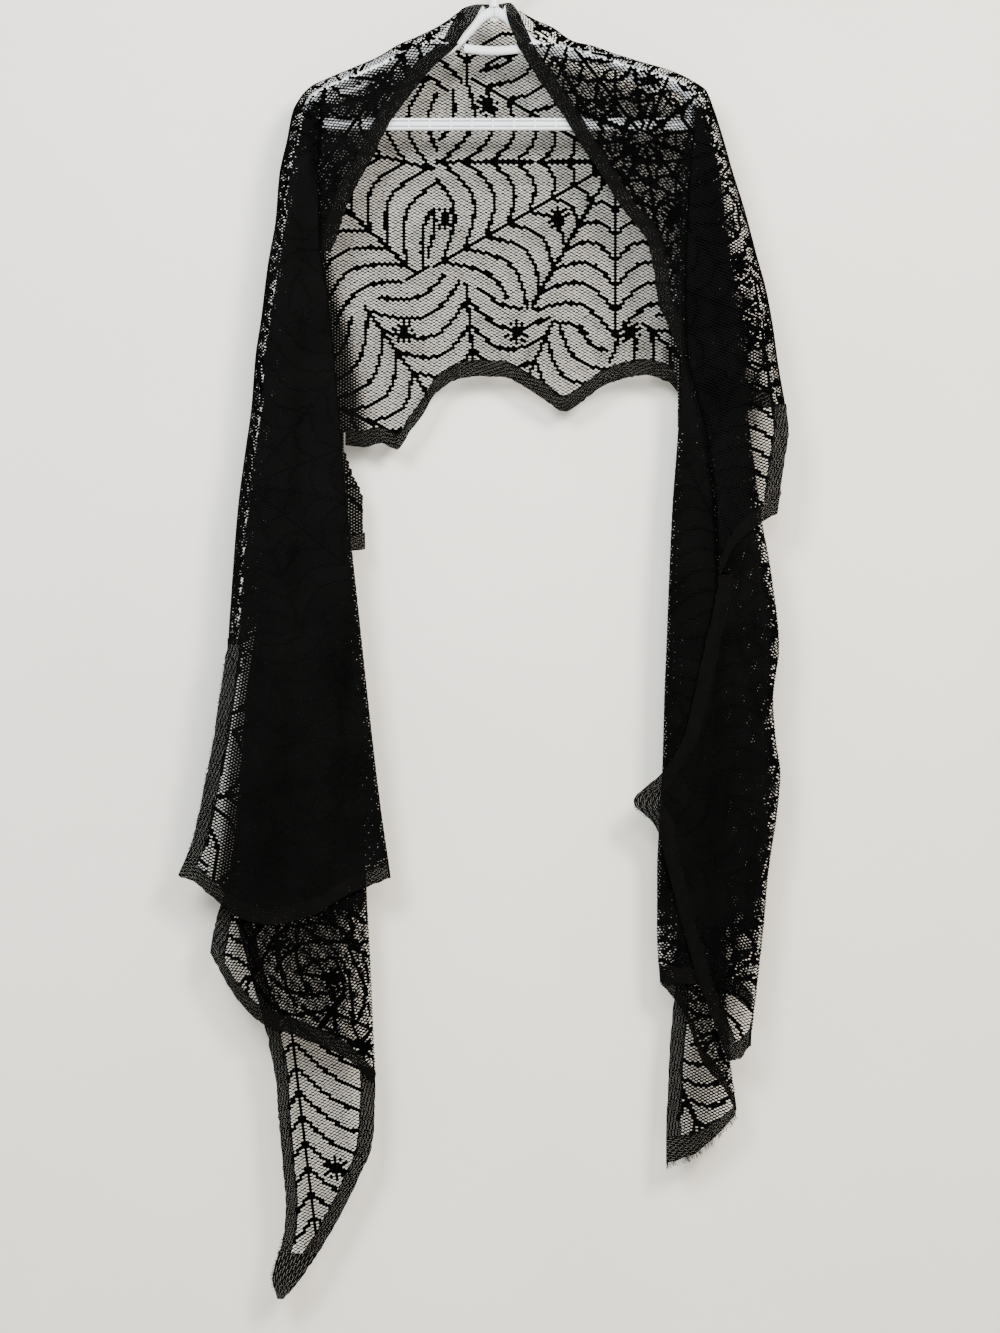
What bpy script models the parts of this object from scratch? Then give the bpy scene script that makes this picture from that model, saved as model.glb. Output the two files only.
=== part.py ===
"""A long lace shawl draped over a plastic clothes hanger.

The shawl is one sheet of net with a solid edge.  It lies over the hanger's
arms: the middle hangs down behind, and each end falls in front in layers,
folded back and forth on near-vertical fold lines.  Every stretch of cloth
between two folds is its own solid, a wall of even thickness.

Sizes are in millimetres until a point is handed to Blender.  `drop` is the
distance below the inside top of the hook, where the rail carries the hanger.
+X is the viewer's right, and the front faces -Y.
"""
import math
import bpy
import bmesh
from mathutils import Vector

MM = 0.001

# Driving dimensions of the cloth
WALL = 1.2             # thickness of each wall of cloth
SEAM = 0.8             # clear space between two pieces that meet
TOP_BAND = 15.0        # solid band along the shawl's straight top edge
HEM_BAND = 16.0        # solid band along its scalloped lower edge
FOLD_REACH = 9.0       # how far the big fold over the arms reaches inwards
HEM_DROP = 17.5        # height of the hem band where it runs level
TAIL_BAND = 13.0       # the top band narrows down the left tail
FOLD_SIDES = 6         # faces round the big fold
FOLD_ROWS = 30         # faces along the big fold, crowded towards the neck
FOLD_CROWD = 1.35
FOLD_OPENING = 22.0    # width over which the big fold first opens to the front
TURN_SIDES = 4         # faces round each tight fold between two layers
PANEL_CROWD = 1.5      # the front panels' faces are crowded towards the neck

# Driving dimensions of the hanger
TUBE_RADIUS = 6.5
HOOK_TUBE_RADIUS = 5.0
HOOK_INNER_RADIUS = 17.0
STEM_X = -5.0
BAR_DROP = 185.0
BAR_HEIGHT = 12.4
BAR_DEPTH = 8.0
BAR_EDGE = 2.0
BAR_LEFT, BAR_RIGHT = -186.0, 192.0
BRACE_RADIUS = 4.6
STRAP_RADIUS = 2.6
CROWN_DROP = 69.5      # centre of the arms where they meet under the stem
CROWN_SHARE = 0.85     # the arms are this much thinner at the crown
LEFT_CROWN_END, RIGHT_CROWN_END = 104.0, 102.0
JOINT_GAP = 0.3
ROUTE_STEPS = 2        # points that a route gets for each of its rows
ARM_TURN = 10          # the row of an arm's route at which it turns down to the bar
ARM_GAP = 1.2          # along the middle; the slanted ends come closer
RIDGE_CLEARANCE = 1.3  # the flat panels stop this far short of the big fold

# Routes of the hanger's tubes: x, drop
LEFT_ARM = [(-5.3, CROWN_DROP), (-7, CROWN_DROP), (-9, CROWN_DROP), (-20, 76), (-36, 93), (-50, 105),
            (-67, 110),
            (-90, 113.5), (-117, 120.5), (-150, 135.5), (-182, 151), (-192, 159), (-196, 170), (-194.5, 180),
            (-190.5, 184.6), (-188.5, 185), (-187.5, 185), (-186.3, 185)]
RIGHT_ARM = [(-4.7, CROWN_DROP), (-3, CROWN_DROP), (-1, CROWN_DROP), (10, 76), (26, 93), (40, 105), (57, 108),
             (80, 112), (109, 118), (149, 131), (189, 148), (198.5, 157), (202, 169), (200.5, 180),
             (196.5, 184.6), (194.5, 185), (193.5, 185), (192.3, 185)]
BRACE = [(-36, 106), (-20, 108), (-5, 108.7), (10, 108), (26, 106)]
LEFT_STRAP_HOOK = [(-131, 136.5), (-140, 144.5), (-152, 150), (-163, 152.5)]
RIGHT_STRAP_HOOK = [(134, 135.5), (146, 143.5), (158, 148.5), (171, 150.5)]

# Outline of the cloth over the arms and down the outer sides: drop, x
LEFT_OUTLINE = [
    (66, -38), (82, -60), (93, -82), (102, -103), (115, -125), (125, -148),
    (135, -172), (146, -195), (157, -205), (172, -213), (202, -219),
    (239, -227), (286, -231), (331, -239), (386, -246), (426, -252),
    (476, -256), (527, -263), (582, -270), (661, -276), (725, -280),
]
RIGHT_OUTLINE = [
    (66, 19), (76, 36), (84, 54), (99, 77), (103, 95), (112, 121),
    (120, 147), (130, 180), (141, 202), (150, 214), (167, 221), (195, 230),
    (237, 242), (275, 254), (320, 266), (356, 276), (393, 283), (436, 289), (476, 296),
]

# Hem of the front flap on each side, below the outer fold: drop, x
LEFT_FLAP = [(725, -280), (770, -287), (824, -295), (868, -304), (899, -310), (933, -319), (963, -332)]
RIGHT_FLAP = [(476, 296), (507, 299), (524, 296), (561, 291), (590, 287)]

# Fold lines of the falls, read at each drop.  The sheet runs from the outer
# fold inwards and back again; None is where a fold does not exist.
LEFT_COLUMNS = ("drop", "first", "second", "third", "top")
LEFT_FOLDS = [
    (160, -185, -198, None, None),
    (196, -186, -203, None, None),
    (232, -187, -208, None, None),
    (274, -186, -213, None, None),
    (315, -184, -216, -181, -190),
    (367, -176, -219, -177, -199),
    (471, -166, -223, -170, -210),
    (574, -157, -230, -164, -222),
    (678, -146, -246, -157, -235),
    (782, -135, -262, -147, -246),
    (886, -123, -270, -141, -258),
    (963, -112, -279, -138, -267),
    (1013, None, -294, -136, -271),
    (1048, None, -300, -134, -263),
    (1116, None, -303, -131, -244),
    (1179, None, -305, -128, -231),
]
RIGHT_COLUMNS = ("drop", "first", "second", "third", "fourth", "top")
RIGHT_FOLDS = [
    (160, 198, 210, None, None, None),
    (195, 200, 218, None, None, None),
    (237, 197, 227, None, None, None),
    (315, 193, 237, None, None, None),
    (357, 192, 243, None, None, None),
    (419, 194, 251, 187, 201, 189),
    (471, 205, 256, 187, 211, 191),
    (507, 214, 260, 185, 216, 192),
    (588, 224, 270, 179, 223, 192),
    (652, 226, 281, 176, 227, 191),
    (728, 212, 289, 173, 230, 190),
    (780, 201, 283, 171, 232, 189),
    (823, 190, 286, 170, 234, 188),
    (858, 167, 291, 169, 235, 188),
    (887, 139, 289, 167, 236, 187),
    (912, 162, 286, 166, 236, 187),
    (958, 175, 279, 164, 237, 186),
    (1015, 190, 274, 164, 236, 185),
    (1077, 208, 267, 167, 236, 183),
    (1140, 231, 261, 171, 239, 178),
    (1157, 236, 263, 172, 240, 177),
    (1212, 236, 263, 172, 247, 174),
    (1263, 236, 263, 172, 249, 173),
]

# Depth of each layer, front to back: y at each drop
DEPTH_COLUMNS = ("drop", "front", "second", "third", "fourth", "fifth", "back")
DEPTHS = [
    (140, -8.6, -8.6, -8.6, -4.0, -4.0, 9.2),
    (160, -12.2, -10.4, -8.6, -4.0, -4.0, 9.2),
    (230, -18.0, -13.5, -9.0, -4.5, 0.0, 9.6),
    (420, -17.5, -13.0, -8.5, -4.0, 0.5, 10.0),
    (700, -14.5, -10.0, -5.5, -1.0, 3.5, 9.5),
    (1406, -11.0, -6.5, -2.0, 2.5, 7.0, 12.0),
]

# Free inner edge of the top band down each front: drop, x
LEFT_FREE_EDGE = [(95, -33), (109, -47), (129, -70), (154, -90), (180, -110), (202, -122), (225, -133),
                  (244, -144), (268, -156), (306, -169), (326, -178)]
RIGHT_FREE_EDGE = [(95, 13), (110, 22), (134, 37), (156, 52), (185, 71), (208, 85), (230, 100), (251, 113),
                   (275, 128), (305, 152), (337, 160), (368, 164), (396, 176), (425, 187)]

# Upper and lower edges of the stretches: fraction across from left to right, drop
LEFT_FRONT_HEM = [(0, 963), (0.08, 970), (0.16, 985), (0.30, 1008), (0.45, 1014), (0.62, 1006),
                  (0.8, 984), (1, 966)]
LEFT_SECOND_EDGE = [(0, 950), (0.5, 975), (1, 946)]
LEFT_THIRD_HEM = [(0, 1044), (0.15, 1085), (0.33, 1116), (0.56, 1131), (0.83, 1152), (1, 1179)]
LEFT_PANEL_TOP = [(0, 104), (0.6, 101), (0.8, 101), (1, 109)]
RIGHT_PANEL_TOP = [(0, 109), (0.2, 102), (0.4, 102), (1, 105)]
LEFT_BACK_TOP = [(0, 176), (1, 144)]
RIGHT_BACK_TOP = [(0, 144), (1, 172)]
LEFT_BACK_HEM = [(0, 725), (0.28, 679), (0.5, 652), (0.74, 632), (1, 625)]
RIGHT_BACK_HEM = [(0, 498), (0.5, 482), (1, 477)]
RIGHT_FRONT_HEM = [(0, 652), (0.25, 624), (0.55, 607), (0.85, 594), (1, 590)]
RIGHT_SECOND_EDGE = [(0, 1156), (0.6, 1152), (1, 1140)]
RIGHT_THIRD_HEM = [(0, 1075), (0.3, 1076), (0.6, 1081), (0.85, 1093), (1, 1105)]
RIGHT_FOURTH_HEM = [(0, 1078), (0.3, 1104), (0.6, 1160), (0.85, 1181), (1, 1207)]
RIGHT_TAIL_HEM = [(0, 1263), (0.4, 1253), (0.7, 1236), (1, 1212)]
RIGHT_TAIL_BAND = [(0, 1236), (0.4, 1231), (0.7, 1219), (1, 1202)]

# Drops at which one stretch ends and the next begins
FOLDS_TOP = 158.0
FRONT_SPLIT = 316.0
LEFT_FRONT_SPLIT = 725.0
LEFT_THIRD_SPLIT = 950.0
RIGHT_PANEL_SPLIT = 425.0
RIGHT_FRONT_SPLIT = 476.0
RIGHT_SECOND_SPLIT = 652.0
FLAP_GAP = 2.0          # kept between a flap and the layer above it

# Drops at which the layers inside the falls begin
LEFT_FIRST_TOP, LEFT_SECOND_TOP, LEFT_INNER_TOP = 163.0, 164.0, 390.0
RIGHT_FIRST_TOP, RIGHT_SECOND_TOP, RIGHT_FOURTH_TOP, RIGHT_TAIL_TOP = 166.0, 167.0, 470.0, 530.0

# Lower edge of the back panel, with its two hem points: x, drop
BACK_LEFT, BACK_RIGHT = -160.0, 186.0
RIDGE_BEYOND = (12.0, 20.0)   # the ridge is read this far past the panel's sides
NECK_MARGIN = 3.0             # and left out this close to the neck
BACK_HEM = [(-160, 517), (-143, 519), (-122, 515), (-106, 522), (-93, 503), (-83, 491), (-65, 462),
            (-45, 449), (-22, 445), (5, 446), (28, 457), (48, 470), (68, 482), (88, 470),
            (111, 454), (136, 446), (153, 444), (178, 452), (186, 462)]

# Upper edge of the back panel at the neck, between the two arms: x, drop
NECK_EDGE = [(-39, 80), (-32, 76), (-26, 70), (-20, 66), (-14, 70), (-4, 75), (5, 69), (9, 67),
             (14, 76), (21, 80)]

# Inner side of the left back layer, from the back panel to its hem: drop, x
LEFT_BACK_INNER = [(140, -160), (517, -160), (543, -152), (574, -141), (625, -139), (725, -139)]

# The left tail, below the third layer: drop, left edge, right edge
TAIL_COLUMNS = ("drop", "left", "right")
LEFT_TAIL = [(1140, -238, -130), (1179, -231, -128), (1214, -229, -129), (1245, -226, -132),
             (1272, -224, -143), (1304, -221, -158), (1335, -223, -175), (1363, -231, -193),
             (1383, -235, -206), (1404, -230, -224)]
TAIL_TOP_DROP = 1180.0
TAIL_TIP_DROP = 1355.0

# The top band where it passes behind the hanger's stem: x, y, drop of its
# upper edge, then of its lower edge
NECK_BAND = [
    (-57, -9.0, 98, -46.5, -9.0, 108),
    (-49, -7.0, 82, -37, -9.5, 93),
    (-38, -1.0, 65, -26, -8.5, 79),
    (-22, 5.5, 59, -16, -1.5, 62),
    (-13, 10.0, 58, -13, 8.5, 68),
    (-4, 11.0, 57.5, -4, 9.5, 72),
    (3, 9.0, 57.5, 4, 7.5, 66),
    (11, 0.5, 58.5, 6, -2.0, 61.5),
    (19, -6.0, 68, 8.5, -9.0, 77),
    (26, -8.8, 83, 13.5, -9.0, 91),
    (34, -8.8, 101, 21.5, -8.8, 108.5),
]

# Soft waves that the whole hanging cloth shares, so that no layers meet
SWAY_START = 230.0
SWAY_DEPTH = 4.0
SWAY_LENGTH = 620.0
SWAY_GROWTH = 300.0     # the waves reach their full depth over this drop
RIPPLE_DEPTH = 1.6
RIPPLE_WIDTH = 64.0
RIPPLE_LEAN = 210.0     # the ripples shift sideways by one radian over this drop

CLOTH_COLOUR = (0.012, 0.011, 0.011)
BAND_COLOUR = (0.020, 0.019, 0.018)
PLASTIC_COLOUR = (0.80, 0.81, 0.82)


def smooth(points, at):
    """Read a curve through (position, value) points, without overshoot."""
    if at <= points[0][0]:
        return float(points[0][1])
    if at >= points[-1][0]:
        return float(points[-1][1])
    slopes = [(b[1] - a[1]) / (b[0] - a[0]) for a, b in zip(points, points[1:])]
    i = next(k for k in range(len(slopes)) if at <= points[k + 1][0])
    start = tangent(slopes, i)
    end = tangent(slopes, i + 1)
    width = points[i + 1][0] - points[i][0]
    t = (at - points[i][0]) / width
    return ((2 * t ** 3 - 3 * t ** 2 + 1) * points[i][1] + (t ** 3 - 2 * t ** 2 + t) * width * start
            + (3 * t ** 2 - 2 * t ** 3) * points[i + 1][1] + (t ** 3 - t ** 2) * width * end)


def tangent(slopes, i):
    """The slope at point i: none at a turning point, else the harmonic mean."""
    if i == 0:
        return slopes[0]
    if i == len(slopes):
        return slopes[-1]
    before, after = slopes[i - 1], slopes[i]
    return 0.0 if before * after <= 0 else 2 * before * after / (before + after)


def column(columns, rows, name):
    """One column of a table as (position, value) points."""
    k = columns.index(name)
    return [(row[0], row[k]) for row in rows if row[k] is not None]


def depth(layer, drop):
    return smooth(column(DEPTH_COLUMNS, DEPTHS, layer), drop)


def sway(x, drop):
    """How far the hanging cloth swings to the back or the front, at x and drop."""
    below = max(0.0, drop - SWAY_START)
    grow = min(1.0, below / SWAY_GROWTH)
    long_wave = SWAY_DEPTH * math.sin(2 * math.pi * below / SWAY_LENGTH)
    ripple = RIPPLE_DEPTH * math.sin(2 * math.pi * x / RIPPLE_WIDTH + below / RIPPLE_LEAN)
    return grow * (long_wave + ripple)


def place(x, y, drop):
    return (x * MM, (y + sway(x, drop)) * MM, -drop * MM)


def inner_line(outline, side):
    """The outline moved inwards by the big fold's reach: drop, x."""
    points = []
    for i, (drop, x) in enumerate(outline):
        before, after = outline[max(i - 1, 0)], outline[min(i + 1, len(outline) - 1)]
        run, fall = after[1] - before[1], after[0] - before[0]
        length = math.hypot(run, fall)
        points.append((drop + FOLD_REACH * abs(run) / length, x - side * FOLD_REACH * fall / length))
    return points


LEFT_INNER = inner_line(LEFT_OUTLINE, -1)
RIGHT_INNER = inner_line(RIGHT_OUTLINE, 1)


def material(name, colour, roughness):
    mat = bpy.data.materials.new(name)
    mat.use_nodes = True
    shader = mat.node_tree.nodes["Principled BSDF"]
    shader.inputs["Base Color"].default_value = (*colour, 1.0)
    shader.inputs["Roughness"].default_value = roughness
    shader.inputs["Metallic"].default_value = 0.0
    return mat


def link(obj, mat):
    obj.data.materials.append(mat)
    bpy.data.collections["lace_shawl_on_a_hanger"].objects.link(obj)
    return obj


def cloth(name, grid, mat):
    """A wall of cloth: the grid of (x, y, drop) points is its middle surface."""
    grid = pulled_in([[Vector(point) for point in row] for row in grid])
    mesh = bpy.data.meshes.new(name)
    shape = bmesh.new()
    rows = [[shape.verts.new(place(*point)) for point in row] for row in grid]
    for upper, lower in zip(rows, rows[1:]):
        for a, b, c, d in zip(upper, upper[1:], lower[1:], lower):
            shape.faces.new((a, b, c, d))
    bmesh.ops.recalc_face_normals(shape, faces=shape.faces)
    shape.to_mesh(mesh)
    shape.free()
    mesh.shade_smooth()
    obj = link(bpy.data.objects.new(name, mesh), mat)
    wall = obj.modifiers.new("wall", "SOLIDIFY")
    wall.thickness = WALL * MM
    wall.offset = 0.0
    wall.use_even_offset = True
    return obj


def pulled_in(grid):
    """The grid with its four sides drawn in by half a seam."""
    for row in grid:
        ends = (row[0] + (row[1] - row[0]).normalized() * SEAM / 2,
                row[-1] + (row[-2] - row[-1]).normalized() * SEAM / 2)
        row[0], row[-1] = ends
    for first, second in ((0, 1), (-1, -2)):
        grid[first] = [point + (other - point).normalized() * SEAM / 2
                       for point, other in zip(grid[first], grid[second])]
    return grid


def bend(edge, side, layer, next_layer):
    """Points round a tight fold, from one layer's edge to the next layer."""
    x, _, drop = edge
    near, far = depth(layer, drop), depth(next_layer, drop)
    middle, reach = (near + far) / 2, (far - near) / 2
    angles = [math.pi * k / TURN_SIDES for k in range(1, TURN_SIDES + 1)]
    return [(x + side * reach * math.sin(a), middle - reach * math.cos(a), drop) for a in angles]


def stretch(names, mats, layer, lines, top, bottom, rows, hem=None, turn=None, crowd=1.0):
    """One stretch of cloth between two layers' folds, with its solid bands.

    lines gives, from left to right, (x at a drop, faces to the next line).
    top and bottom give the drop at a fraction across.  hem gives the drop at
    which the lower band starts.  turn adds a tight fold at one side.  names
    holds the net's name and those of the bands: "left", "right", "hem".
    """
    net_mat, band_mat = mats
    places = [(line, other, k / steps)
              for (line, steps), (other, _) in zip(lines, lines[1:]) for k in range(steps)]
    places.append((lines[-1][0], lines[-1][0], 0.0))
    at = bottom(0.5)
    spots = [line(at) + (other(at) - line(at)) * share for line, other, share in places]
    across = [(x - spots[0]) / (spots[-1] - spots[0]) for x in spots]
    grid = []
    for j in range(rows + 1 + (hem is not None)):
        row = []
        for (line, other, share), fraction in zip(places, across):
            end = hem(fraction) if hem else bottom(fraction)
            start = top(fraction)
            drop = bottom(fraction) if j > rows else start + (end - start) * (j / rows) ** crowd
            row.append((line(drop) + (other(drop) - line(drop)) * share, depth(layer, drop), drop))
        if turn and turn[0] > 0:
            row = row + bend(row[-1], 1, layer, turn[1])
        elif turn:
            row = bend(row[0], -1, layer, turn[1])[::-1] + row
        grid.append(row)
    if hem:
        cloth(names["hem"], grid[rows:], band_mat)
        grid = grid[:rows + 1]
    if "left" in names:
        width = lines[0][1]
        cloth(names["left"], [row[:width + 1] for row in grid], band_mat)
        grid = [row[width:] for row in grid]
    if "right" in names:
        width = lines[-2][1]
        cloth(names["right"], [row[-width - 1:] for row in grid], band_mat)
        grid = [row[:len(row) - width] for row in grid]
    cloth(names["net"], grid, net_mat)


def turn_reach(layer, next_layer, drop):
    return abs(depth(next_layer, drop) - depth(layer, drop)) / 2


def fold_line(columns, rows, name, side, layers):
    """x where the flat cloth ends and the tight fold at this line starts."""
    points = column(columns, rows, name)
    return lambda drop: smooth(points, drop) - side * turn_reach(*layers, drop)


def moved(line, distance):
    return lambda drop: line(drop) + distance


def level(points):
    return lambda across: smooth(points, across)


def raised(line, amount):
    return lambda across: line(across) - amount


def flat_at(drop):
    return lambda across: drop


def fixed(x):
    return lambda drop: x


def along(points):
    return lambda drop: smooth(points, drop)


def outer_fold(name, mat, outline, inner):
    """The big fold over the arm and down the outer side, back to front.

    Near the neck only its back part exists, because the top band lies there.
    """
    to_inner = [(drop, other) for (drop, _), (other, _) in zip(outline, inner)]
    start, end = outline[0][0], outline[-1][0]
    drops = [start + (end - start) * (k / FOLD_ROWS) ** FOLD_CROWD for k in range(FOLD_ROWS + 1)]
    rows = []
    for drop in drops:
        x, inner_drop = smooth(outline, drop), smooth(to_inner, drop)
        inner_x = smooth(inner, inner_drop)
        share = min(1.0, abs(x - outline[0][1]) / FOLD_OPENING)
        front, back = depth("front", drop), depth("back", drop)
        middle, half = (front + back) / 2, (back - front) / 2
        line = []
        for k in range(FOLD_SIDES + 1):
            angle = math.pi * (0.5 - (0.5 + 0.5 * share) * k / FOLD_SIDES)
            inward = 1 - math.cos(angle)
            line.append((x + (inner_x - x) * inward, middle + half * math.sin(angle),
                         drop + (inner_drop - drop) * inward))
        rows.append(line)
    cloth(name, rows, mat)


def tube(name, mat, path, radius, thin_until=None):
    """A round rod through (x, drop) points in the hanger's plane."""
    curve = bpy.data.curves.new(name, "CURVE")
    curve.dimensions = "3D"
    curve.bevel_depth = radius * MM
    curve.bevel_resolution = 2
    curve.use_fill_caps = True
    spline = curve.splines.new("POLY")
    spline.points.add(len(path) - 1)
    for point, (x, drop) in zip(spline.points, path):
        point.co = (x * MM, 0.0, -drop * MM, 1.0)
        point.radius = CROWN_SHARE if thin_until and drop < thin_until else 1.0
    return link(bpy.data.objects.new(name, curve), mat)


def dense(points, steps=ROUTE_STEPS):
    """A smooth run through the route's points."""
    run = []
    ends = [points[0]] + list(points) + [points[-1]]
    for a, b, c, d in zip(ends, ends[1:], ends[2:], ends[3:]):
        for k in range(steps):
            t = k / steps
            run.append(tuple(0.5 * (2 * b[i] + (c[i] - a[i]) * t
                                    + (2 * a[i] - 5 * b[i] + 4 * c[i] - d[i]) * t ** 2
                                    + (3 * b[i] - a[i] - 3 * c[i] + d[i]) * t ** 3) for i in range(2)))
    run.append(points[-1])
    return run


def shortened(path, gap):
    """The path without the first part of its first step."""
    (x, drop), (next_x, next_drop) = path[:2]
    share = gap / math.hypot(next_x - x, next_drop - drop)
    return [(x + (next_x - x) * share, drop + (next_drop - drop) * share)] + path[1:]


def hook_path():
    """Up the stem, out to one side, over the top and down to the tip."""
    radius = HOOK_INNER_RADIUS + HOOK_TUBE_RADIUS
    foot = CROWN_DROP - TUBE_RADIUS * CROWN_SHARE - JOINT_GAP
    path = [(STEM_X, foot), (STEM_X, 56), (-2, 47), (8, 39), (18, 29)]
    for k in range(9):
        angle = math.pi * k / 8
        path.append((radius * math.cos(angle), HOOK_INNER_RADIUS - radius * math.sin(angle)))
    path.append((-19, 27))
    return path


def bar(name, mat):
    """The straight lower bar: a box with rounded long edges."""
    bpy.ops.mesh.primitive_cube_add(size=1.0)
    obj = bpy.context.object
    obj.name = name
    obj.data.name = name
    for vertex in obj.data.vertices:
        vertex.co.x *= (BAR_RIGHT - BAR_LEFT - 2 * JOINT_GAP) * MM
        vertex.co.y *= BAR_DEPTH * MM
        vertex.co.z *= BAR_HEIGHT * MM
    obj.location = ((BAR_LEFT + BAR_RIGHT) / 2 * MM, 0.0, -BAR_DROP * MM)
    for holder in list(obj.users_collection):
        holder.objects.unlink(obj)
    link(obj, mat)
    edge = obj.modifiers.new("rounded edges", "BEVEL")
    edge.width = BAR_EDGE * MM
    edge.segments = 3
    return obj


def hanger(mat):
    """One moulding on the real hanger, parted here where its tubes meet."""
    tube("hanger_hook", mat, dense(hook_path()), HOOK_TUBE_RADIUS)
    for side, route, crown_end in (("left", LEFT_ARM, LEFT_CROWN_END), ("right", RIGHT_ARM, RIGHT_CROWN_END)):
        path = dense(route)
        shoulder, end = path[:ROUTE_STEPS * ARM_TURN + 1], path[ROUTE_STEPS * ARM_TURN:]
        tube(f"hanger_{side}_arm", mat, shoulder, TUBE_RADIUS, crown_end)
        tube(f"hanger_{side}_end", mat, shortened(end, ARM_GAP), TUBE_RADIUS)
    bar("hanger_bar", mat)
    tube("hanger_brace", mat, dense(BRACE), BRACE_RADIUS)
    tube("hanger_left_strap_hook", mat, dense(LEFT_STRAP_HOOK), STRAP_RADIUS)
    tube("hanger_right_strap_hook", mat, dense(RIGHT_STRAP_HOOK), STRAP_RADIUS)


def back(mats):
    """The cloth behind: the middle panel and the outer layer on each side."""
    left_end, right_end = BACK_LEFT - RIDGE_BEYOND[0], BACK_RIGHT + RIDGE_BEYOND[1]
    left_neck, right_neck = NECK_EDGE[0][0] - NECK_MARGIN, NECK_EDGE[-1][0] + NECK_MARGIN
    left_ridge = [(x, drop) for drop, x in reversed(LEFT_INNER) if left_end < x < left_neck]
    right_ridge = [(x, drop) for drop, x in RIGHT_INNER if right_neck < x < right_end]
    upper = left_ridge + NECK_EDGE + right_ridge

    def position(across):
        return BACK_LEFT + (BACK_RIGHT - BACK_LEFT) * across

    def top(across):
        return smooth(upper, position(across)) + RIDGE_CLEARANCE

    def bottom(across):
        return smooth(BACK_HEM, position(across))

    left, right = fixed(BACK_LEFT), fixed(BACK_RIGHT)
    stretch({"net": "back_panel", "hem": "back_hem_band"}, mats, "back", [(left, 40), (right, 0)],
            top, bottom, 8, hem=raised(bottom, HEM_DROP))
    hem = level(LEFT_BACK_HEM)
    stretch({"net": "left_back_layer", "hem": "left_back_hem_band"}, mats, "back",
            [(along(LEFT_INNER), 6), (along(LEFT_BACK_INNER), 0)], level(LEFT_BACK_TOP), hem, 15,
            hem=raised(hem, HEM_DROP))
    hem = level(RIGHT_BACK_HEM)
    stretch({"net": "right_back_layer", "hem": "right_back_hem_band"}, mats, "back",
            [(right, 5), (along(RIGHT_INNER), 0)], level(RIGHT_BACK_TOP), hem, 11,
            hem=raised(hem, HEM_DROP))


def band_width(line, width):
    """Width read level across a band that runs down at a slant."""
    step = width / 4
    return lambda drop: width * math.hypot(1.0, (line(drop + step) - line(drop - step)) / (2 * step))


def left_front(mats):
    """The layers on the left: front flap, two inner layers, and the tail."""
    folds = {name: fold_line(LEFT_COLUMNS, LEFT_FOLDS, name, *rest) for name, *rest in (
        ("first", 1, ("front", "second")), ("second", -1, ("second", "third")),
        ("third", 1, ("third", "fourth")))}
    edge = along(column(LEFT_COLUMNS, LEFT_FOLDS, "second"))
    top_edge = along(column(LEFT_COLUMNS, LEFT_FOLDS, "top"))
    inner, flap, free_edge = along(LEFT_INNER), along(LEFT_FLAP), along(LEFT_FREE_EDGE)
    width = band_width(free_edge, TOP_BAND)

    def over_arm(drop):
        outer = inner(drop) + RIDGE_CLEARANCE
        return max(outer, folds["second"](drop)) if drop > FOLDS_TOP else outer

    def band_outer(drop):
        return free_edge(drop) - width(drop)

    stretch({"net": "left_front_panel", "right": "left_front_top_band"}, mats, "third",
            [(over_arm, 7), (band_outer, 1), (free_edge, 0)], level(LEFT_PANEL_TOP),
            flat_at(FRONT_SPLIT), 18, crowd=PANEL_CROWD)
    stretch({"net": "left_first_layer"}, mats, "front", [(inner, 6), (folds["first"], 0)],
            flat_at(LEFT_FIRST_TOP), flat_at(LEFT_FRONT_SPLIT), 16, turn=(1, "second"))
    hem = level(LEFT_FRONT_HEM)
    stretch({"net": "left_flap", "left": "left_flap_side_hem", "hem": "left_flap_lower_hem"}, mats, "front",
            [(flap, 1), (moved(flap, HEM_BAND), 9), (folds["first"], 0)],
            flat_at(LEFT_FRONT_SPLIT + FLAP_GAP), hem, 8,
            hem=raised(hem, HEM_DROP), turn=(1, "second"))
    stretch({"net": "left_second_layer"}, mats, "second", [(folds["second"], 4), (folds["first"], 0)],
            flat_at(LEFT_SECOND_TOP), level(LEFT_SECOND_EDGE), 20, turn=(-1, "third"))
    stretch({"net": "left_third_layer"}, mats, "third", [(folds["second"], 5), (folds["third"], 0)],
            flat_at(FRONT_SPLIT), flat_at(LEFT_THIRD_SPLIT), 17, turn=(1, "fourth"))
    hem = level(LEFT_THIRD_HEM)
    stretch({"net": "left_lower_layer", "left": "left_lower_side_hem", "hem": "left_lower_hem"}, mats,
            "third", [(edge, 1), (moved(edge, HEM_BAND), 8), (folds["third"], 0)], flat_at(LEFT_THIRD_SPLIT), hem, 6,
            hem=raised(hem, HEM_DROP), turn=(1, "fourth"))
    stretch({"net": "left_inner_layer", "left": "left_inner_top_band"}, mats, "fourth",
            [(top_edge, 1), (moved(top_edge, TOP_BAND), 4), (folds["third"], 0)], flat_at(LEFT_INNER_TOP),
            flat_at(TAIL_TOP_DROP), 20)
    tail(mats)


def tail(mats):
    """The left end of the shawl: it tapers to a point."""
    left = along(column(TAIL_COLUMNS, LEFT_TAIL, "left"))
    right = along(column(TAIL_COLUMNS, LEFT_TAIL, "right"))
    stretch({"net": "left_tail", "left": "left_tail_top_band", "right": "left_tail_hem"}, mats, "fourth",
            [(left, 1), (moved(left, TAIL_BAND), 4), (moved(right, -HEM_BAND), 1), (right, 0)],
            flat_at(TAIL_TOP_DROP), flat_at(TAIL_TIP_DROP), 9)
    stretch({"net": "left_tail_tip"}, (mats[1], mats[1]), "fourth", [(left, 3), (right, 0)],
            flat_at(TAIL_TIP_DROP), flat_at(LEFT_TAIL[-1][0]), 4)


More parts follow.
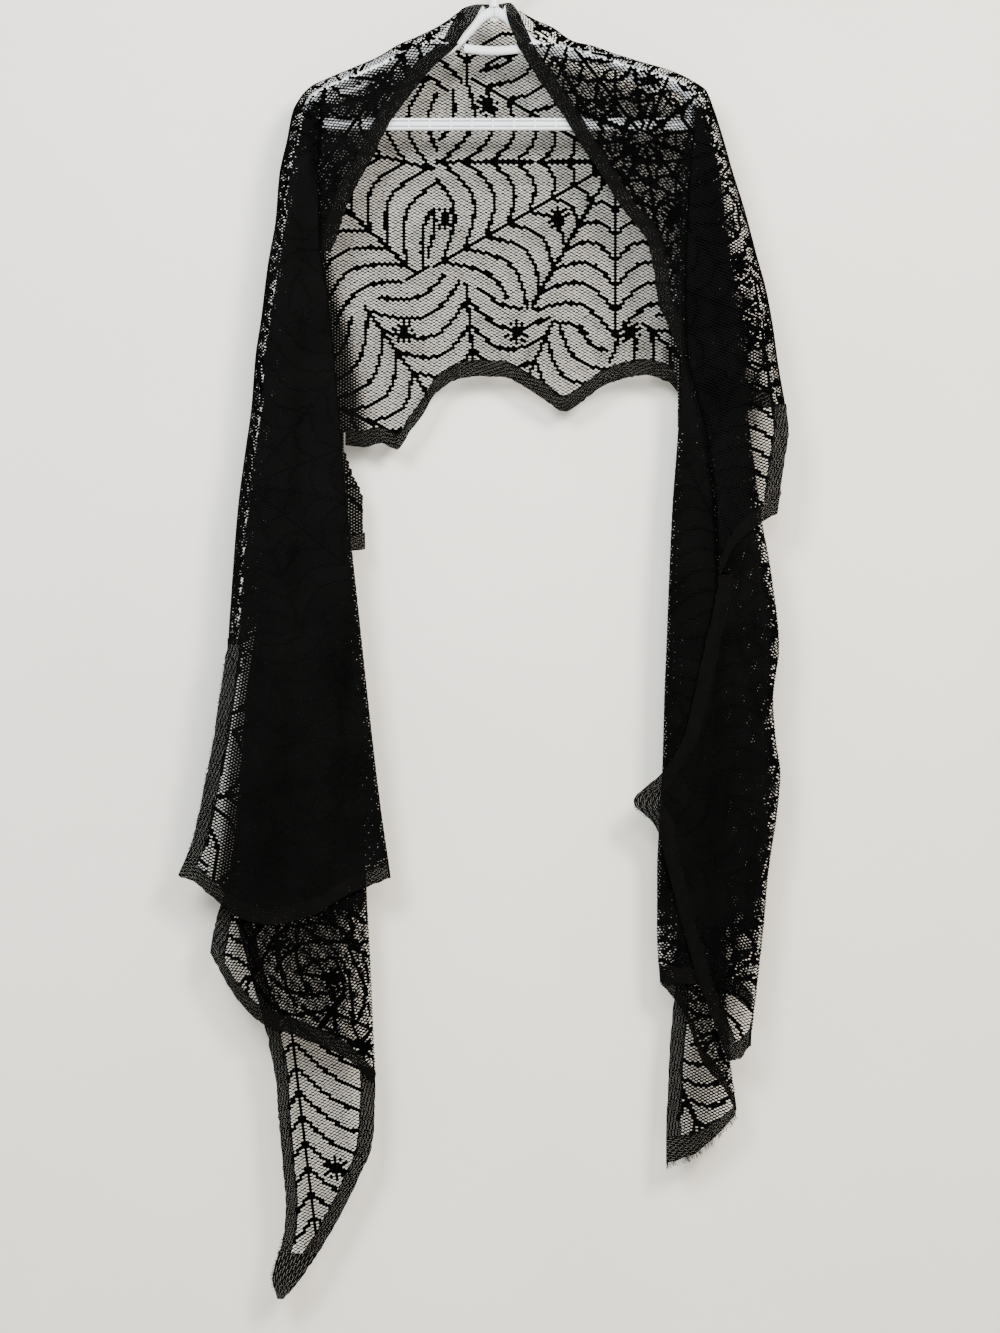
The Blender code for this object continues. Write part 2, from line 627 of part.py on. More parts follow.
def right_front(mats):
    """The layers on the right: flap, four inner layers, and the tail."""
    folds = {name: fold_line(RIGHT_COLUMNS, RIGHT_FOLDS, name, *rest) for name, *rest in (
        ("first", -1, ("front", "second")), ("second", 1, ("second", "third")),
        ("third", -1, ("third", "fourth")), ("fourth", 1, ("fourth", "fifth")))}
    edge = along(column(RIGHT_COLUMNS, RIGHT_FOLDS, "first"))
    top_edge = along(column(RIGHT_COLUMNS, RIGHT_FOLDS, "top"))
    inner, flap, free_edge = along(RIGHT_INNER), along(RIGHT_FLAP), along(RIGHT_FREE_EDGE)
    width = band_width(free_edge, TOP_BAND)

    def over_arm(drop):
        outer = inner(drop) - RIDGE_CLEARANCE
        return min(outer, folds["second"](drop)) if drop > FOLDS_TOP else outer

    def band_outer(drop):
        return free_edge(drop) + width(drop)

    stretch({"net": "right_front_panel", "left": "right_front_top_band"}, mats, "third",
            [(free_edge, 1), (band_outer, 7), (over_arm, 0)], level(RIGHT_PANEL_TOP),
            flat_at(RIGHT_PANEL_SPLIT), 21, crowd=PANEL_CROWD)
    stretch({"net": "right_first_layer"}, mats, "front", [(folds["first"], 6), (inner, 0)],
            flat_at(RIGHT_FIRST_TOP), flat_at(RIGHT_FRONT_SPLIT), 11, turn=(-1, "second"))
    hem = level(RIGHT_FRONT_HEM)
    stretch({"net": "right_flap", "right": "right_flap_side_hem", "hem": "right_flap_lower_hem"}, mats,
            "front", [(folds["first"], 6), (moved(flap, -HEM_BAND), 1), (flap, 0)],
            flat_at(RIGHT_FRONT_SPLIT + FLAP_GAP), hem, 5,
            hem=raised(hem, HEM_DROP), turn=(-1, "second"))
    stretch({"net": "right_second_layer"}, mats, "second", [(folds["first"], 4), (folds["second"], 0)],
            flat_at(RIGHT_SECOND_TOP), flat_at(RIGHT_SECOND_SPLIT), 15, turn=(1, "third"))
    second_edge = level(RIGHT_SECOND_EDGE)
    stretch({"net": "right_corner_layer", "left": "right_corner_side_hem", "hem": "right_corner_lower_hem"},
            mats, "second", [(edge, 1), (moved(edge, HEM_BAND), 4), (folds["second"], 0)],
            flat_at(RIGHT_SECOND_SPLIT), second_edge, 22, hem=raised(second_edge, HEM_DROP), turn=(1, "third"))
    hem = level(RIGHT_THIRD_HEM)
    stretch({"net": "right_third_layer", "hem": "right_third_hem"}, mats, "third",
            [(folds["third"], 6), (moved(folds["second"], -SEAM / 2), 0)], flat_at(RIGHT_PANEL_SPLIT),
            hem, 17, hem=raised(hem, HEM_DROP), turn=(-1, "fourth"))
    hem = level(RIGHT_FOURTH_HEM)
    stretch({"net": "right_fourth_layer", "hem": "right_fourth_hem"}, mats, "fourth",
            [(folds["third"], 4), (folds["fourth"], 0)], flat_at(RIGHT_FOURTH_TOP), hem, 16,
            hem=raised(hem, HEM_DROP), turn=(1, "fifth"))
    stretch({"net": "right_tail_layer", "left": "right_inner_top_band", "hem": "right_tail_hem"}, mats,
            "fifth", [(top_edge, 1), (moved(top_edge, TOP_BAND), 4), (folds["fourth"], 0)], flat_at(RIGHT_TAIL_TOP),
            level(RIGHT_TAIL_HEM), 16, hem=level(RIGHT_TAIL_BAND))


def neck_band(mat):
    """The top band behind the stem, lofted between its two edges."""
    rows = []
    for row in NECK_BAND:
        upper, lower = row[:3], row[3:]
        rows.append([[upper[k] + (lower[k] - upper[k]) * share for k in range(3)] for share in (0, 0.5, 1)])
    cloth("neck_top_band", rows, mat)


def build():
    for obj in list(bpy.data.objects):
        bpy.data.objects.remove(obj, do_unlink=True)
    group = bpy.data.collections.new("lace_shawl_on_a_hanger")
    bpy.context.scene.collection.children.link(group)
    net = material("black_net", CLOTH_COLOUR, 0.75)
    band = material("black_band", BAND_COLOUR, 0.8)
    plastic = material("white_plastic", PLASTIC_COLOUR, 0.3)
    hanger(plastic)
    back((net, band))
    outer_fold("left_outer_fold", net, LEFT_OUTLINE, LEFT_INNER)
    outer_fold("right_outer_fold", net, RIGHT_OUTLINE, RIGHT_INNER)
    left_front((net, band))
    right_front((net, band))
    neck_band(band)


build()
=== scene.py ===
# %% [markdown]
# # A lace shawl on a hanger
#
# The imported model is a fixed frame.  Each layer of the shawl is drawn here as a
# real open net that follows its solid, with its solid-knit bands beside it.

# %% Load the frame
import math
import bpy
import numpy as np
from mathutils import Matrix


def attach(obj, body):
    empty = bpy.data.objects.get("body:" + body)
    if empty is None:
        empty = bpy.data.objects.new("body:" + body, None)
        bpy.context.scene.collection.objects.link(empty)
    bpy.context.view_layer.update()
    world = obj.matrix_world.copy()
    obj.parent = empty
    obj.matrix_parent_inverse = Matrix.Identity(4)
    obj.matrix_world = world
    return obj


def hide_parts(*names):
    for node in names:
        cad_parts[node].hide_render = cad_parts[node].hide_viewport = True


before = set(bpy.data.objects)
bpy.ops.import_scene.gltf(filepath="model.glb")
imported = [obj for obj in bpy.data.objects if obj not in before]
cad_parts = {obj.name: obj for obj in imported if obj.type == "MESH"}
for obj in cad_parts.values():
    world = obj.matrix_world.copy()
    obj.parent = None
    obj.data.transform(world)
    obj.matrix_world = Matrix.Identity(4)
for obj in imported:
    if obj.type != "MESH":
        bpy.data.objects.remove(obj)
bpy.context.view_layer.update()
print("frame:", len(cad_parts), "nodes")

# %% [markdown]
# ## Sizes
#
# All sizes are in millimetres.  `drop` is the distance below the inside top of
# the hook.  The tables repeat the part's own, so that every net lies on its
# solid.  The net has a hole every 3.3 mm, as in the photograph.

# %% Sizes of the cloth and the hanger
MM = 0.001
PITCH = 3.3            # from the middle of one hole to the next
KNOT = 1.45            # height of the knotted bars that lie across the net
THREAD = 0.55          # width of the slanting threads between them
RELIEF = 0.9           # the bars' ends stand this far in front and behind
JITTER = 0.12          # how unevenly the holes are knitted
TIGHT_KNOT, TIGHT_THREAD = 1.0, 1.1    # added where the cloth is fully gathered
TOP_BAND, HEM_BAND, HEM_DROP, TAIL_BAND = 15.0, 16.0, 17.5, 13.0
FOLD_REACH, FOLD_OPENING, RIDGE_CLEARANCE = 9.0, 22.0, 1.3

TUBE_RADIUS, HOOK_TUBE_RADIUS, HOOK_INNER_RADIUS = 6.5, 5.0, 17.0
STEM_X, BAR_DROP, BAR_HEIGHT, BAR_DEPTH = -5.0, 185.0, 12.4, 8.0
BAR_LEFT, BAR_RIGHT = -186.0, 192.0
BRACE_RADIUS, STRAP_RADIUS, CROWN_DROP, CROWN_SHARE = 4.6, 2.6, 69.5, 0.85
LEFT_CROWN_END, RIGHT_CROWN_END, JOINT_GAP = 104.0, 102.0, 0.3

FOLDS_TOP, FRONT_SPLIT, RIGHT_PANEL_SPLIT = 158.0, 316.0, 425.0
LEFT_FRONT_SPLIT, LEFT_THIRD_SPLIT = 725.0, 950.0
RIGHT_FRONT_SPLIT, RIGHT_SECOND_SPLIT = 476.0, 652.0
LEFT_FIRST_TOP, LEFT_SECOND_TOP, LEFT_INNER_TOP = 163.0, 164.0, 390.0
RIGHT_FIRST_TOP, RIGHT_SECOND_TOP, RIGHT_FOURTH_TOP, RIGHT_TAIL_TOP = 166.0, 167.0, 470.0, 530.0
TAIL_TOP_DROP, TAIL_TIP_DROP = 1180.0, 1355.0
SWAY_START, SWAY_DEPTH, SWAY_LENGTH, SWAY_GROWTH = 230.0, 4.0, 620.0, 300.0
RIPPLE_DEPTH, RIPPLE_WIDTH, RIPPLE_LEAN = 1.6, 64.0, 210.0

# %% Routes of the hanger's tubes: x, drop
LEFT_ARM = [(-5.3, 69.5), (-7, 69.5), (-9, 69.5), (-20, 76), (-36, 93), (-50, 105), (-67, 110),
            (-90, 113.5), (-117, 120.5), (-150, 135.5), (-182, 151), (-192, 159), (-196, 170), (-194.5, 180),
            (-190.5, 184.6), (-188.5, 185), (-187.5, 185), (-186.3, 185)]
RIGHT_ARM = [(-4.7, 69.5), (-3, 69.5), (-1, 69.5), (10, 76), (26, 93), (40, 105), (57, 108),
             (80, 112), (109, 118), (149, 131), (189, 148), (198.5, 157), (202, 169), (200.5, 180),
             (196.5, 184.6), (194.5, 185), (193.5, 185), (192.3, 185)]
BRACE = [(-36, 106), (-20, 108), (-5, 108.7), (10, 108), (26, 106)]
LEFT_STRAP_HOOK = [(-131, 136.5), (-140, 144.5), (-152, 150), (-163, 152.5)]
RIGHT_STRAP_HOOK = [(134, 135.5), (146, 143.5), (158, 148.5), (171, 150.5)]

# %% Outlines of the cloth and its fold lines: drop, x
LEFT_OUTLINE = [
    (66, -38), (82, -60), (93, -82), (102, -103), (115, -125), (125, -148),
    (135, -172), (146, -195), (157, -205), (172, -213), (202, -219),
    (239, -227), (286, -231), (331, -239), (386, -246), (426, -252),
    (476, -256), (527, -263), (582, -270), (661, -276), (725, -280)]
RIGHT_OUTLINE = [
    (66, 19), (76, 36), (84, 54), (99, 77), (103, 95), (112, 121),
    (120, 147), (130, 180), (141, 202), (150, 214), (167, 221), (195, 230),
    (237, 242), (275, 254), (320, 266), (356, 276), (393, 283), (436, 289), (476, 296)]
LEFT_FLAP = [(725, -280), (770, -287), (824, -295), (868, -304), (899, -310), (933, -319), (963, -332)]
RIGHT_FLAP = [(476, 296), (507, 299), (524, 296), (561, 291), (590, 287)]
LEFT_FREE_EDGE = [(95, -33), (109, -47), (129, -70), (154, -90), (180, -110), (202, -122), (225, -133),
                  (244, -144), (268, -156), (306, -169), (326, -178)]
RIGHT_FREE_EDGE = [(95, 13), (110, 22), (134, 37), (156, 52), (185, 71), (208, 85), (230, 100), (251, 113),
                   (275, 128), (305, 152), (337, 160), (368, 164), (396, 176), (425, 187)]
LEFT_COLUMNS = ("drop", "first", "second", "third", "top")
LEFT_FOLDS = [
    (160, -185, -198, None, None), (196, -186, -203, None, None), (232, -187, -208, None, None),
    (274, -186, -213, None, None), (315, -184, -216, -181, -190), (367, -176, -219, -177, -199),
    (471, -166, -223, -170, -210), (574, -157, -230, -164, -222), (678, -146, -246, -157, -235),
    (782, -135, -262, -147, -246), (886, -123, -270, -141, -258), (963, -112, -279, -138, -267),
    (1013, None, -294, -136, -271), (1048, None, -300, -134, -263), (1116, None, -303, -131, -244),
    (1179, None, -305, -128, -231)]
RIGHT_COLUMNS = ("drop", "first", "second", "third", "fourth", "top")
RIGHT_FOLDS = [
    (160, 198, 210, None, None, None), (195, 200, 218, None, None, None), (237, 197, 227, None, None, None),
    (315, 193, 237, None, None, None), (357, 192, 243, None, None, None), (419, 194, 251, 187, 201, 189),
    (471, 205, 256, 187, 211, 191), (507, 214, 260, 185, 216, 192), (588, 224, 270, 179, 223, 192),
    (652, 226, 281, 176, 227, 191), (728, 212, 289, 173, 230, 190), (780, 201, 283, 171, 232, 189),
    (823, 190, 286, 170, 234, 188), (858, 167, 291, 169, 235, 188), (887, 139, 289, 167, 236, 187),
    (912, 162, 286, 166, 236, 187), (958, 175, 279, 164, 237, 186), (1015, 190, 274, 164, 236, 185),
    (1077, 208, 267, 167, 236, 183), (1140, 231, 261, 171, 239, 178), (1157, 236, 263, 172, 240, 177),
    (1212, 236, 263, 172, 247, 174), (1263, 236, 263, 172, 249, 173)]
DEPTH_COLUMNS = ("drop", "front", "second", "third", "fourth", "fifth", "back")
DEPTHS = [
    (140, -8.6, -8.6, -8.6, -4.0, -4.0, 9.2), (160, -12.2, -10.4, -8.6, -4.0, -4.0, 9.2),
    (230, -18.0, -13.5, -9.0, -4.5, 0.0, 9.6), (420, -17.5, -13.0, -8.5, -4.0, 0.5, 10.0),
    (700, -14.5, -10.0, -5.5, -1.0, 3.5, 9.5), (1406, -11.0, -6.5, -2.0, 2.5, 7.0, 12.0)]

# %% Lower and upper edges: fraction across, drop; the back panel's: x, drop
LEFT_FRONT_HEM = [(0, 963), (0.08, 970), (0.16, 985), (0.30, 1008), (0.45, 1014), (0.62, 1006), (0.8, 984), (1, 966)]
LEFT_SECOND_EDGE = [(0, 950), (0.5, 975), (1, 946)]
LEFT_THIRD_HEM = [(0, 1044), (0.15, 1085), (0.33, 1116), (0.56, 1131), (0.83, 1152), (1, 1179)]
LEFT_PANEL_TOP = [(0, 104), (0.6, 101), (0.8, 101), (1, 109)]
RIGHT_PANEL_TOP = [(0, 109), (0.2, 102), (0.4, 102), (1, 105)]
LEFT_BACK_TOP = [(0, 176), (1, 144)]
RIGHT_BACK_TOP = [(0, 144), (1, 172)]
LEFT_BACK_HEM = [(0, 725), (0.28, 679), (0.5, 652), (0.74, 632), (1, 625)]
RIGHT_BACK_HEM = [(0, 498), (0.5, 482), (1, 477)]
RIGHT_FRONT_HEM = [(0, 652), (0.25, 624), (0.55, 607), (0.85, 594), (1, 590)]
RIGHT_SECOND_EDGE = [(0, 1156), (0.6, 1152), (1, 1140)]
RIGHT_THIRD_HEM = [(0, 1075), (0.3, 1076), (0.6, 1081), (0.85, 1093), (1, 1105)]
RIGHT_FOURTH_HEM = [(0, 1078), (0.3, 1104), (0.6, 1160), (0.85, 1181), (1, 1207)]
RIGHT_TAIL_HEM = [(0, 1263), (0.4, 1253), (0.7, 1236), (1, 1212)]
RIGHT_TAIL_BAND = [(0, 1236), (0.4, 1231), (0.7, 1219), (1, 1202)]
BACK_LEFT, BACK_RIGHT = -160.0, 186.0
BACK_HEM = [(-160, 517), (-143, 519), (-122, 515), (-106, 522), (-93, 503), (-83, 491), (-65, 462),
            (-45, 449), (-22, 445), (5, 446), (28, 457), (48, 470), (68, 482), (88, 470),
            (111, 454), (136, 446), (153, 444), (178, 452), (186, 462)]
NECK_EDGE = [(-39, 80), (-32, 76), (-26, 70), (-20, 66), (-14, 70), (-4, 75), (5, 69), (9, 67), (14, 76), (21, 80)]
LEFT_BACK_INNER = [(140, -160), (517, -160), (543, -152), (574, -141), (625, -139), (725, -139)]
TAIL_COLUMNS = ("drop", "left", "right")
LEFT_TAIL = [(1140, -238, -130), (1179, -231, -128), (1214, -229, -129), (1245, -226, -132), (1272, -224, -143),
             (1304, -221, -158), (1335, -223, -175), (1363, -231, -193), (1383, -235, -206), (1404, -230, -224)]
NECK_BAND = [
    (-57, -9.0, 98, -46.5, -9.0, 108), (-49, -7.0, 82, -37, -9.5, 93), (-38, -1.0, 65, -26, -8.5, 79),
    (-22, 5.5, 59, -16, -1.5, 62), (-13, 10.0, 58, -13, 8.5, 68), (-4, 11.0, 57.5, -4, 9.5, 72),
    (3, 9.0, 57.5, 4, 7.5, 66), (11, 0.5, 58.5, 6, -2.0, 61.5), (19, -6.0, 68, 8.5, -9.0, 77),
    (26, -8.8, 83, 13.5, -9.0, 91), (34, -8.8, 101, 21.5, -8.8, 108.5)]
print("tables ready")

# %% [markdown]
# ## Curves
#
# Every edge is a smooth curve through its table's rows.  It works on whole
# arrays of positions at once.

# %% Curves through table rows
def curve(points):
    """A function that reads a curve through (position, value) rows, without overshoot."""
    at = np.array([p[0] for p in points], float)
    value = np.array([p[1] for p in points], float)
    slope = np.diff(value) / np.diff(at)
    before_, after = slope[:-1], slope[1:]
    same = before_ * after > 0
    inner = np.where(same, 2 * before_ * after / np.where(same, before_ + after, 1.0), 0.0)
    tangent = np.concatenate([slope[:1], inner, slope[-1:]])

    def read(x):
        x = np.clip(np.asarray(x, float), at[0], at[-1])
        i = np.clip(np.searchsorted(at, x, side="right") - 1, 0, len(at) - 2)
        width = at[i + 1] - at[i]
        t = (x - at[i]) / width
        return ((2 * t ** 3 - 3 * t ** 2 + 1) * value[i] + (t ** 3 - 2 * t ** 2 + t) * width * tangent[i]
                + (3 * t ** 2 - 2 * t ** 3) * value[i + 1] + (t ** 3 - t ** 2) * width * tangent[i + 1])
    return read


def column(columns, rows, name):
    k = columns.index(name)
    return curve([(row[0], row[k]) for row in rows if row[k] is not None])


DEPTH = {name: column(DEPTH_COLUMNS, DEPTHS, name) for name in DEPTH_COLUMNS[1:]}


def sway(x, drop):
    below = np.maximum(0.0, drop - SWAY_START)
    grow = np.minimum(1.0, below / SWAY_GROWTH)
    return grow * (SWAY_DEPTH * np.sin(2 * np.pi * below / SWAY_LENGTH)
                   + RIPPLE_DEPTH * np.sin(2 * np.pi * x / RIPPLE_WIDTH + below / RIPPLE_LEAN))


def inner_line(outline, side):
    points = []
    for i, (drop, x) in enumerate(outline):
        a, b = outline[max(i - 1, 0)], outline[min(i + 1, len(outline) - 1)]
        run, fall = b[1] - a[1], b[0] - a[0]
        length = math.hypot(run, fall)
        points.append((drop + FOLD_REACH * abs(run) / length, x - side * FOLD_REACH * fall / length))
    return points


LEFT_INNER, RIGHT_INNER = inner_line(LEFT_OUTLINE, -1), inner_line(RIGHT_OUTLINE, 1)


def fold_line(columns, rows, name, side, layers):
    """x where the flat cloth ends and the tight fold at this line starts."""
    line = column(columns, rows, name)
    return lambda d: line(d) - side * (DEPTH[layers[1]](d) - DEPTH[layers[0]](d)) / 2


def slanted(line, width):
    """A band's width read level, where the band runs down at a slant."""
    step = width / 4
    return lambda d: width * np.hypot(1.0, (line(d + step) - line(d - step)) / (2 * step))


left_fold = {name: fold_line(LEFT_COLUMNS, LEFT_FOLDS, name, *rest) for name, *rest in (
    ("first", 1, ("front", "second")), ("second", -1, ("second", "third")), ("third", 1, ("third", "fourth")))}
right_fold = {name: fold_line(RIGHT_COLUMNS, RIGHT_FOLDS, name, *rest) for name, *rest in (
    ("first", -1, ("front", "second")), ("second", 1, ("second", "third")),
    ("third", -1, ("third", "fourth")), ("fourth", 1, ("fourth", "fifth")))}
print("curves ready")

# %% [markdown]
# ## Where the cloth lies
#
# A point of a layer is given by x and drop in that layer's own flat plane.
# Past a fold line the same plane winds round a half-round fold to the next
# layer.  Creases are soft dents along straight lines, placed one by one.

# %% Creases: layer, x and drop of both ends, depth, half width
CREASES = [
    ("third", -186, 150, -150, 300, -1.2, 9), ("third", -150, 135, -118, 240, 0.9, 8),
    ("third", 188, 150, 150, 330, -1.2, 9), ("third", 150, 135, 120, 250, 0.9, 8),
    ("front", -205, 175, -240, 520, -1.3, 9), ("front", -196, 190, -205, 640, 1.1, 7),
    ("front", -215, 560, -290, 960, 1.4, 11), ("front", -170, 520, -210, 930, -1.3, 10),
    ("front", -150, 700, -170, 990, 1.1, 8), ("front", 214, 180, 250, 470, -1.3, 9),
    ("front", 250, 300, 275, 590, 1.3, 10), ("front", 236, 400, 244, 600, -1.1, 8),
    ("second", 240, 520, 228, 900, 1.0, 8), ("second", 262, 600, 250, 1120, -1.0, 7),
    ("third", -250, 900, -262, 1090, 1.2, 9), ("third", -200, 800, -215, 1110, -1.2, 10),
    ("third", -170, 880, -160, 1140, 1.0, 8), ("fourth", -190, 1100, -205, 1330, 1.0, 8),
    ("third", 200, 800, 210, 1070, 1.0, 9), ("fifth", 215, 1050, 205, 1240, -1.0, 8),
    ("back", -70, 110, -100, 420, 1.6, 12), ("back", -20, 90, -30, 400, -1.4, 11),
    ("back", 20, 90, 60, 430, 1.5, 12), ("back", 90, 120, 130, 420, -1.5, 12),
    ("back", -120, 150, -150, 480, -1.2, 10),
]


def creased(layer, x, drop):
    """How far the listed creases push the cloth backwards."""
    push = np.zeros(np.shape(x))
    for where, x0, d0, x1, d1, deep, half in CREASES:
        if where != layer:
            continue
        length = math.hypot(x1 - x0, d1 - d0)
        ux, ud = (x1 - x0) / length, (d1 - d0) / length
        run = (x - x0) * ux + (drop - d0) * ud
        off = (x - x0) * ud - (drop - d0) * ux
        fade = np.clip(np.minimum(run, length - run) / 30, 0, 1)
        push = push + deep * np.exp(-(off / half) ** 2) * fade * fade * (3 - 2 * fade)
    return push


def flat_layer(layer, turn=None):
    """A function from (x, drop) of a layer's plane to its place and outward direction.

    turn is (side, fold line, next layer).
    """
    def lie(x, drop):
        y = DEPTH[layer](drop) + creased(layer, x, drop)
        nx, ny, at = np.zeros(np.shape(x)), np.full(np.shape(x), -1.0), np.array(x, float)
        if turn:
            side, line, following = turn
            near, far = DEPTH[layer](drop), DEPTH[following](drop)
            reach = (far - near) / 2
            past = side * (x - line(drop))
            angle = np.clip(past / reach, 0, math.pi)
            round_it = past > 0
            at = np.where(round_it, line(drop) + side * reach * np.sin(angle), at)
            y = np.where(round_it, (near + far) / 2 - reach * np.cos(angle), y)
            nx, ny = np.where(round_it, side * np.sin(angle), nx), np.where(round_it, -np.cos(angle), ny)
        return at, y + sway(at, drop), drop, nx, ny
    return lie


def big_fold(outline, inner, side):
    """The fold over the arm: along its ridge and round it, from back to front."""
    ridge = curve(outline)
    drops = np.linspace(outline[0][0], outline[-1][0], 400)
    xs = ridge(drops)
    run = np.concatenate([[0], np.cumsum(np.hypot(np.diff(xs), np.diff(drops)))])
    to_inner = curve([(a[0], b[0]) for a, b in zip(outline, inner)])
    inner_x = curve(inner)
    mean = 11.0

    def lie(around, along):
        drop = np.interp(along, run, drops)
        x, low = ridge(drop), to_inner(drop)
        share = np.minimum(1.0, np.abs(x - outline[0][1]) / FOLD_OPENING)
        front, back = DEPTH["front"](drop), DEPTH["back"](drop)
        angle = math.pi / 2 - side * around / mean
        inward = 1 - np.cos(angle)
        at = x + (inner_x(low) - x) * inward
        y = (front + back) / 2 + (back - front) / 2 * np.sin(angle)
        down = drop + (low - drop) * inward
        return at, y + sway(at, down), down, side * np.cos(angle), np.sin(angle)

    def inside(around, along):
        drop = np.interp(along, run, drops)
        share = np.minimum(1.0, np.abs(ridge(drop) - outline[0][1]) / FOLD_OPENING)
        turned = side * around / mean
        return (along > 0) & (along < run[-1]) & (turned > 0) & (turned < math.pi * (0.5 + 0.5 * share))
    return lie, inside, (min(0, side * mean * math.pi), max(0, side * mean * math.pi), 0, run[-1])


# %% [markdown]
# ## Where the cloth is gathered
#
# In the two falls the cloth is gathered in small pleats, so its holes close up.
# The tables give how tightly, and how far in from the fall's sides it starts.

# %% Gathers
LEFT_GATHER = curve([(96, 0.5), (150, 0.7), (200, 1), (300, 1.5), (985, 1.5), (1012, 0.45), (1093, 0.22), (1140, 0.1),
                     (1170, 0)])
RIGHT_GATHER = curve([(96, 0.2), (150, 0.3), (220, 1), (450, 1.2), (560, 1.5), (985, 1.5), (1031, 0.6), (1093, 0.34),
                      (1150, 0.34), (1190, 0.5)])
LEFT_PLEATS = [curve(rows) for rows in (
    [(96, -150), (150, -205), (200, -216), (300, -230), (450, -251), (600, -274), (680, -279), (725, -268), (762, -270),
     (817, -278), (873, -283), (928, -287), (985, -296), (1200, -300)],
    [(96, -150), (150, -190), (222, -192), (284, -182), (346, -174), (400, -158), (500, -140), (560, -130),
     (625, -130), (660, -140), (720, -130), (780, -117), (840, -106), (930, -90), (1200, -90)])]
RIGHT_PLEATS = [curve(rows) for rows in (
    [(96, 150), (150, 194), (250, 190), (346, 184), (450, 172), (600, 164), (800, 158), (960, 154), (1200, 154)],
    [(96, 130), (150, 205), (200, 224), (300, 239), (400, 253), (476, 260), (588, 264), (652, 273), (728, 281),
     (823, 278), (912, 279), (1015, 268), (1077, 261), (1140, 250), (1200, 238)])]
PLEAT_FADE, PANEL_END = 12.0, 400.0
EDGE_SHARE = 0.35      # of the gathering is left at the outer edges
OVER_HANGER = [(curve([(x, drop) for x, drop in reversed(LEFT_ARM[6:13])]), 9.0),
               (curve(RIGHT_ARM[6:13]), 9.0), (curve([(BAR_LEFT, BAR_DROP), (BAR_RIGHT, BAR_DROP)]), 8.0),
               (curve(list(reversed(LEFT_STRAP_HOOK))), 6.0), (curve(RIGHT_STRAP_HOOK), 6.0)]
OVER_SPANS = [(-200, -60), (60, 204), (BAR_LEFT, BAR_RIGHT), (-165, -131), (134, 173)]


def eased(x, drop):
    """How far the cloth is stretched open again where it lies over the hanger."""
    result = np.zeros(np.shape(x))
    for (line, half), (low, high) in zip(OVER_HANGER, OVER_SPANS):
        near = np.exp(-((drop - line(x)) / half) ** 2)
        result = np.maximum(result, np.where((x > low) & (x < high), near, 0.0))
    return result


def gathered(x, drop):
    """How tightly the cloth of the falls is gathered here, from 0 to 1."""
    result = np.zeros(np.shape(x))
    for amount, (outer, inner), side in ((LEFT_GATHER, LEFT_PLEATS, -1), (RIGHT_GATHER, RIGHT_PLEATS[::-1], 1)):
        past_inner = np.clip(0.5 + side * (x - inner(drop)) / PLEAT_FADE, 0, 1)
        short_of_outer = np.clip(0.5 + side * (outer(drop) - x) / PLEAT_FADE, EDGE_SHARE, 1)
        result = np.maximum(result, amount(drop) * past_inner * short_of_outer)
    return result * (1 - 0.9 * eased(x, drop))


# %% [markdown]
# ## The pattern
#
# Cells of the net are filled with thread along lines of a web: spokes that
# leave a hub, and threads that sag between them.  Small spiders sit between
# the webs.  It is worked out by formula and repeats over the cloth.

# %% Pattern of webs and spiders
WEB_WIDTH, WEB_HEIGHT = 340.0, 290.0
WEB_WANDER, WEB_SPIN = 34.0, 0.1
SPOKES, RING, SAG, LINE = 12, 26.0, 0.16, 1.75
SPIDER_BODY, SPIDER_REACH, SPIDER_EVERY = 4.8, 12.5, 118.0


def pattern(u, v, spread=1.0):
    """True where a cell of the net is filled, at flat position u, v; spread sets the webs apart."""
    width, height = WEB_WIDTH * spread, WEB_HEIGHT * spread
    best = np.full(u.shape, 1e9)
    du, dv, spin = np.zeros(u.shape), np.zeros(u.shape), np.zeros(u.shape)
    for row in (-1, 0, 1):
        j = np.floor(v / height + 0.5) + row
        shift = np.where(j % 2 == 0, 0.0, 0.5)
        for side in (-1, 0, 1):
            i = np.floor(u / width - shift + 0.5) + side
            a = u - (i + shift) * width - WEB_WANDER * np.sin(2.1 * i + 3.7 * j)
            b = v - j * height - WEB_WANDER * np.sin(1.7 * i - 2.9 * j)
            nearer = a * a + b * b < best
            best = np.where(nearer, a * a + b * b, best)
            du, dv = np.where(nearer, a, du), np.where(nearer, b, dv)
            spin = np.where(nearer, (2 * i + 3 * j) % 5 * WEB_SPIN, spin)
    r = np.sqrt(best)
    step = 2 * np.pi / SPOKES
    turn = (np.arctan2(dv, du) + spin) / step
    off = (turn - np.floor(turn + 0.5)) * step
    spoke = (np.abs(r * np.sin(off)) < LINE) & (r > RING / 3)
    share = np.abs(off) / (step / 2)
    draw = 1 - SAG * (1 - (1 - share) ** 2)
    steep = np.hypot(1, SAG * 4 * (1 - share) / step / draw) / draw
    ring = r / draw / RING
    rings = (np.abs(ring - np.floor(ring + 0.5)) * RING < LINE * steep) & (ring > 0.6)
    row = np.floor(v / SPIDER_EVERY)
    su = ((u / SPIDER_EVERY + 0.37 * row) % 1.0 - 0.5) * SPIDER_EVERY
    sv = (v / SPIDER_EVERY - row - 0.5) * SPIDER_EVERY
    body = (su / SPIDER_BODY) ** 2 + (sv / (SPIDER_BODY * 1.4)) ** 2 < 1
    angle = np.abs(np.arctan2(sv, su))
    legs = (np.abs((angle / 0.62) % 1.0 - 0.5) < 0.2) & (np.hypot(su, sv) < SPIDER_REACH)
    return spoke | rings | body | legs


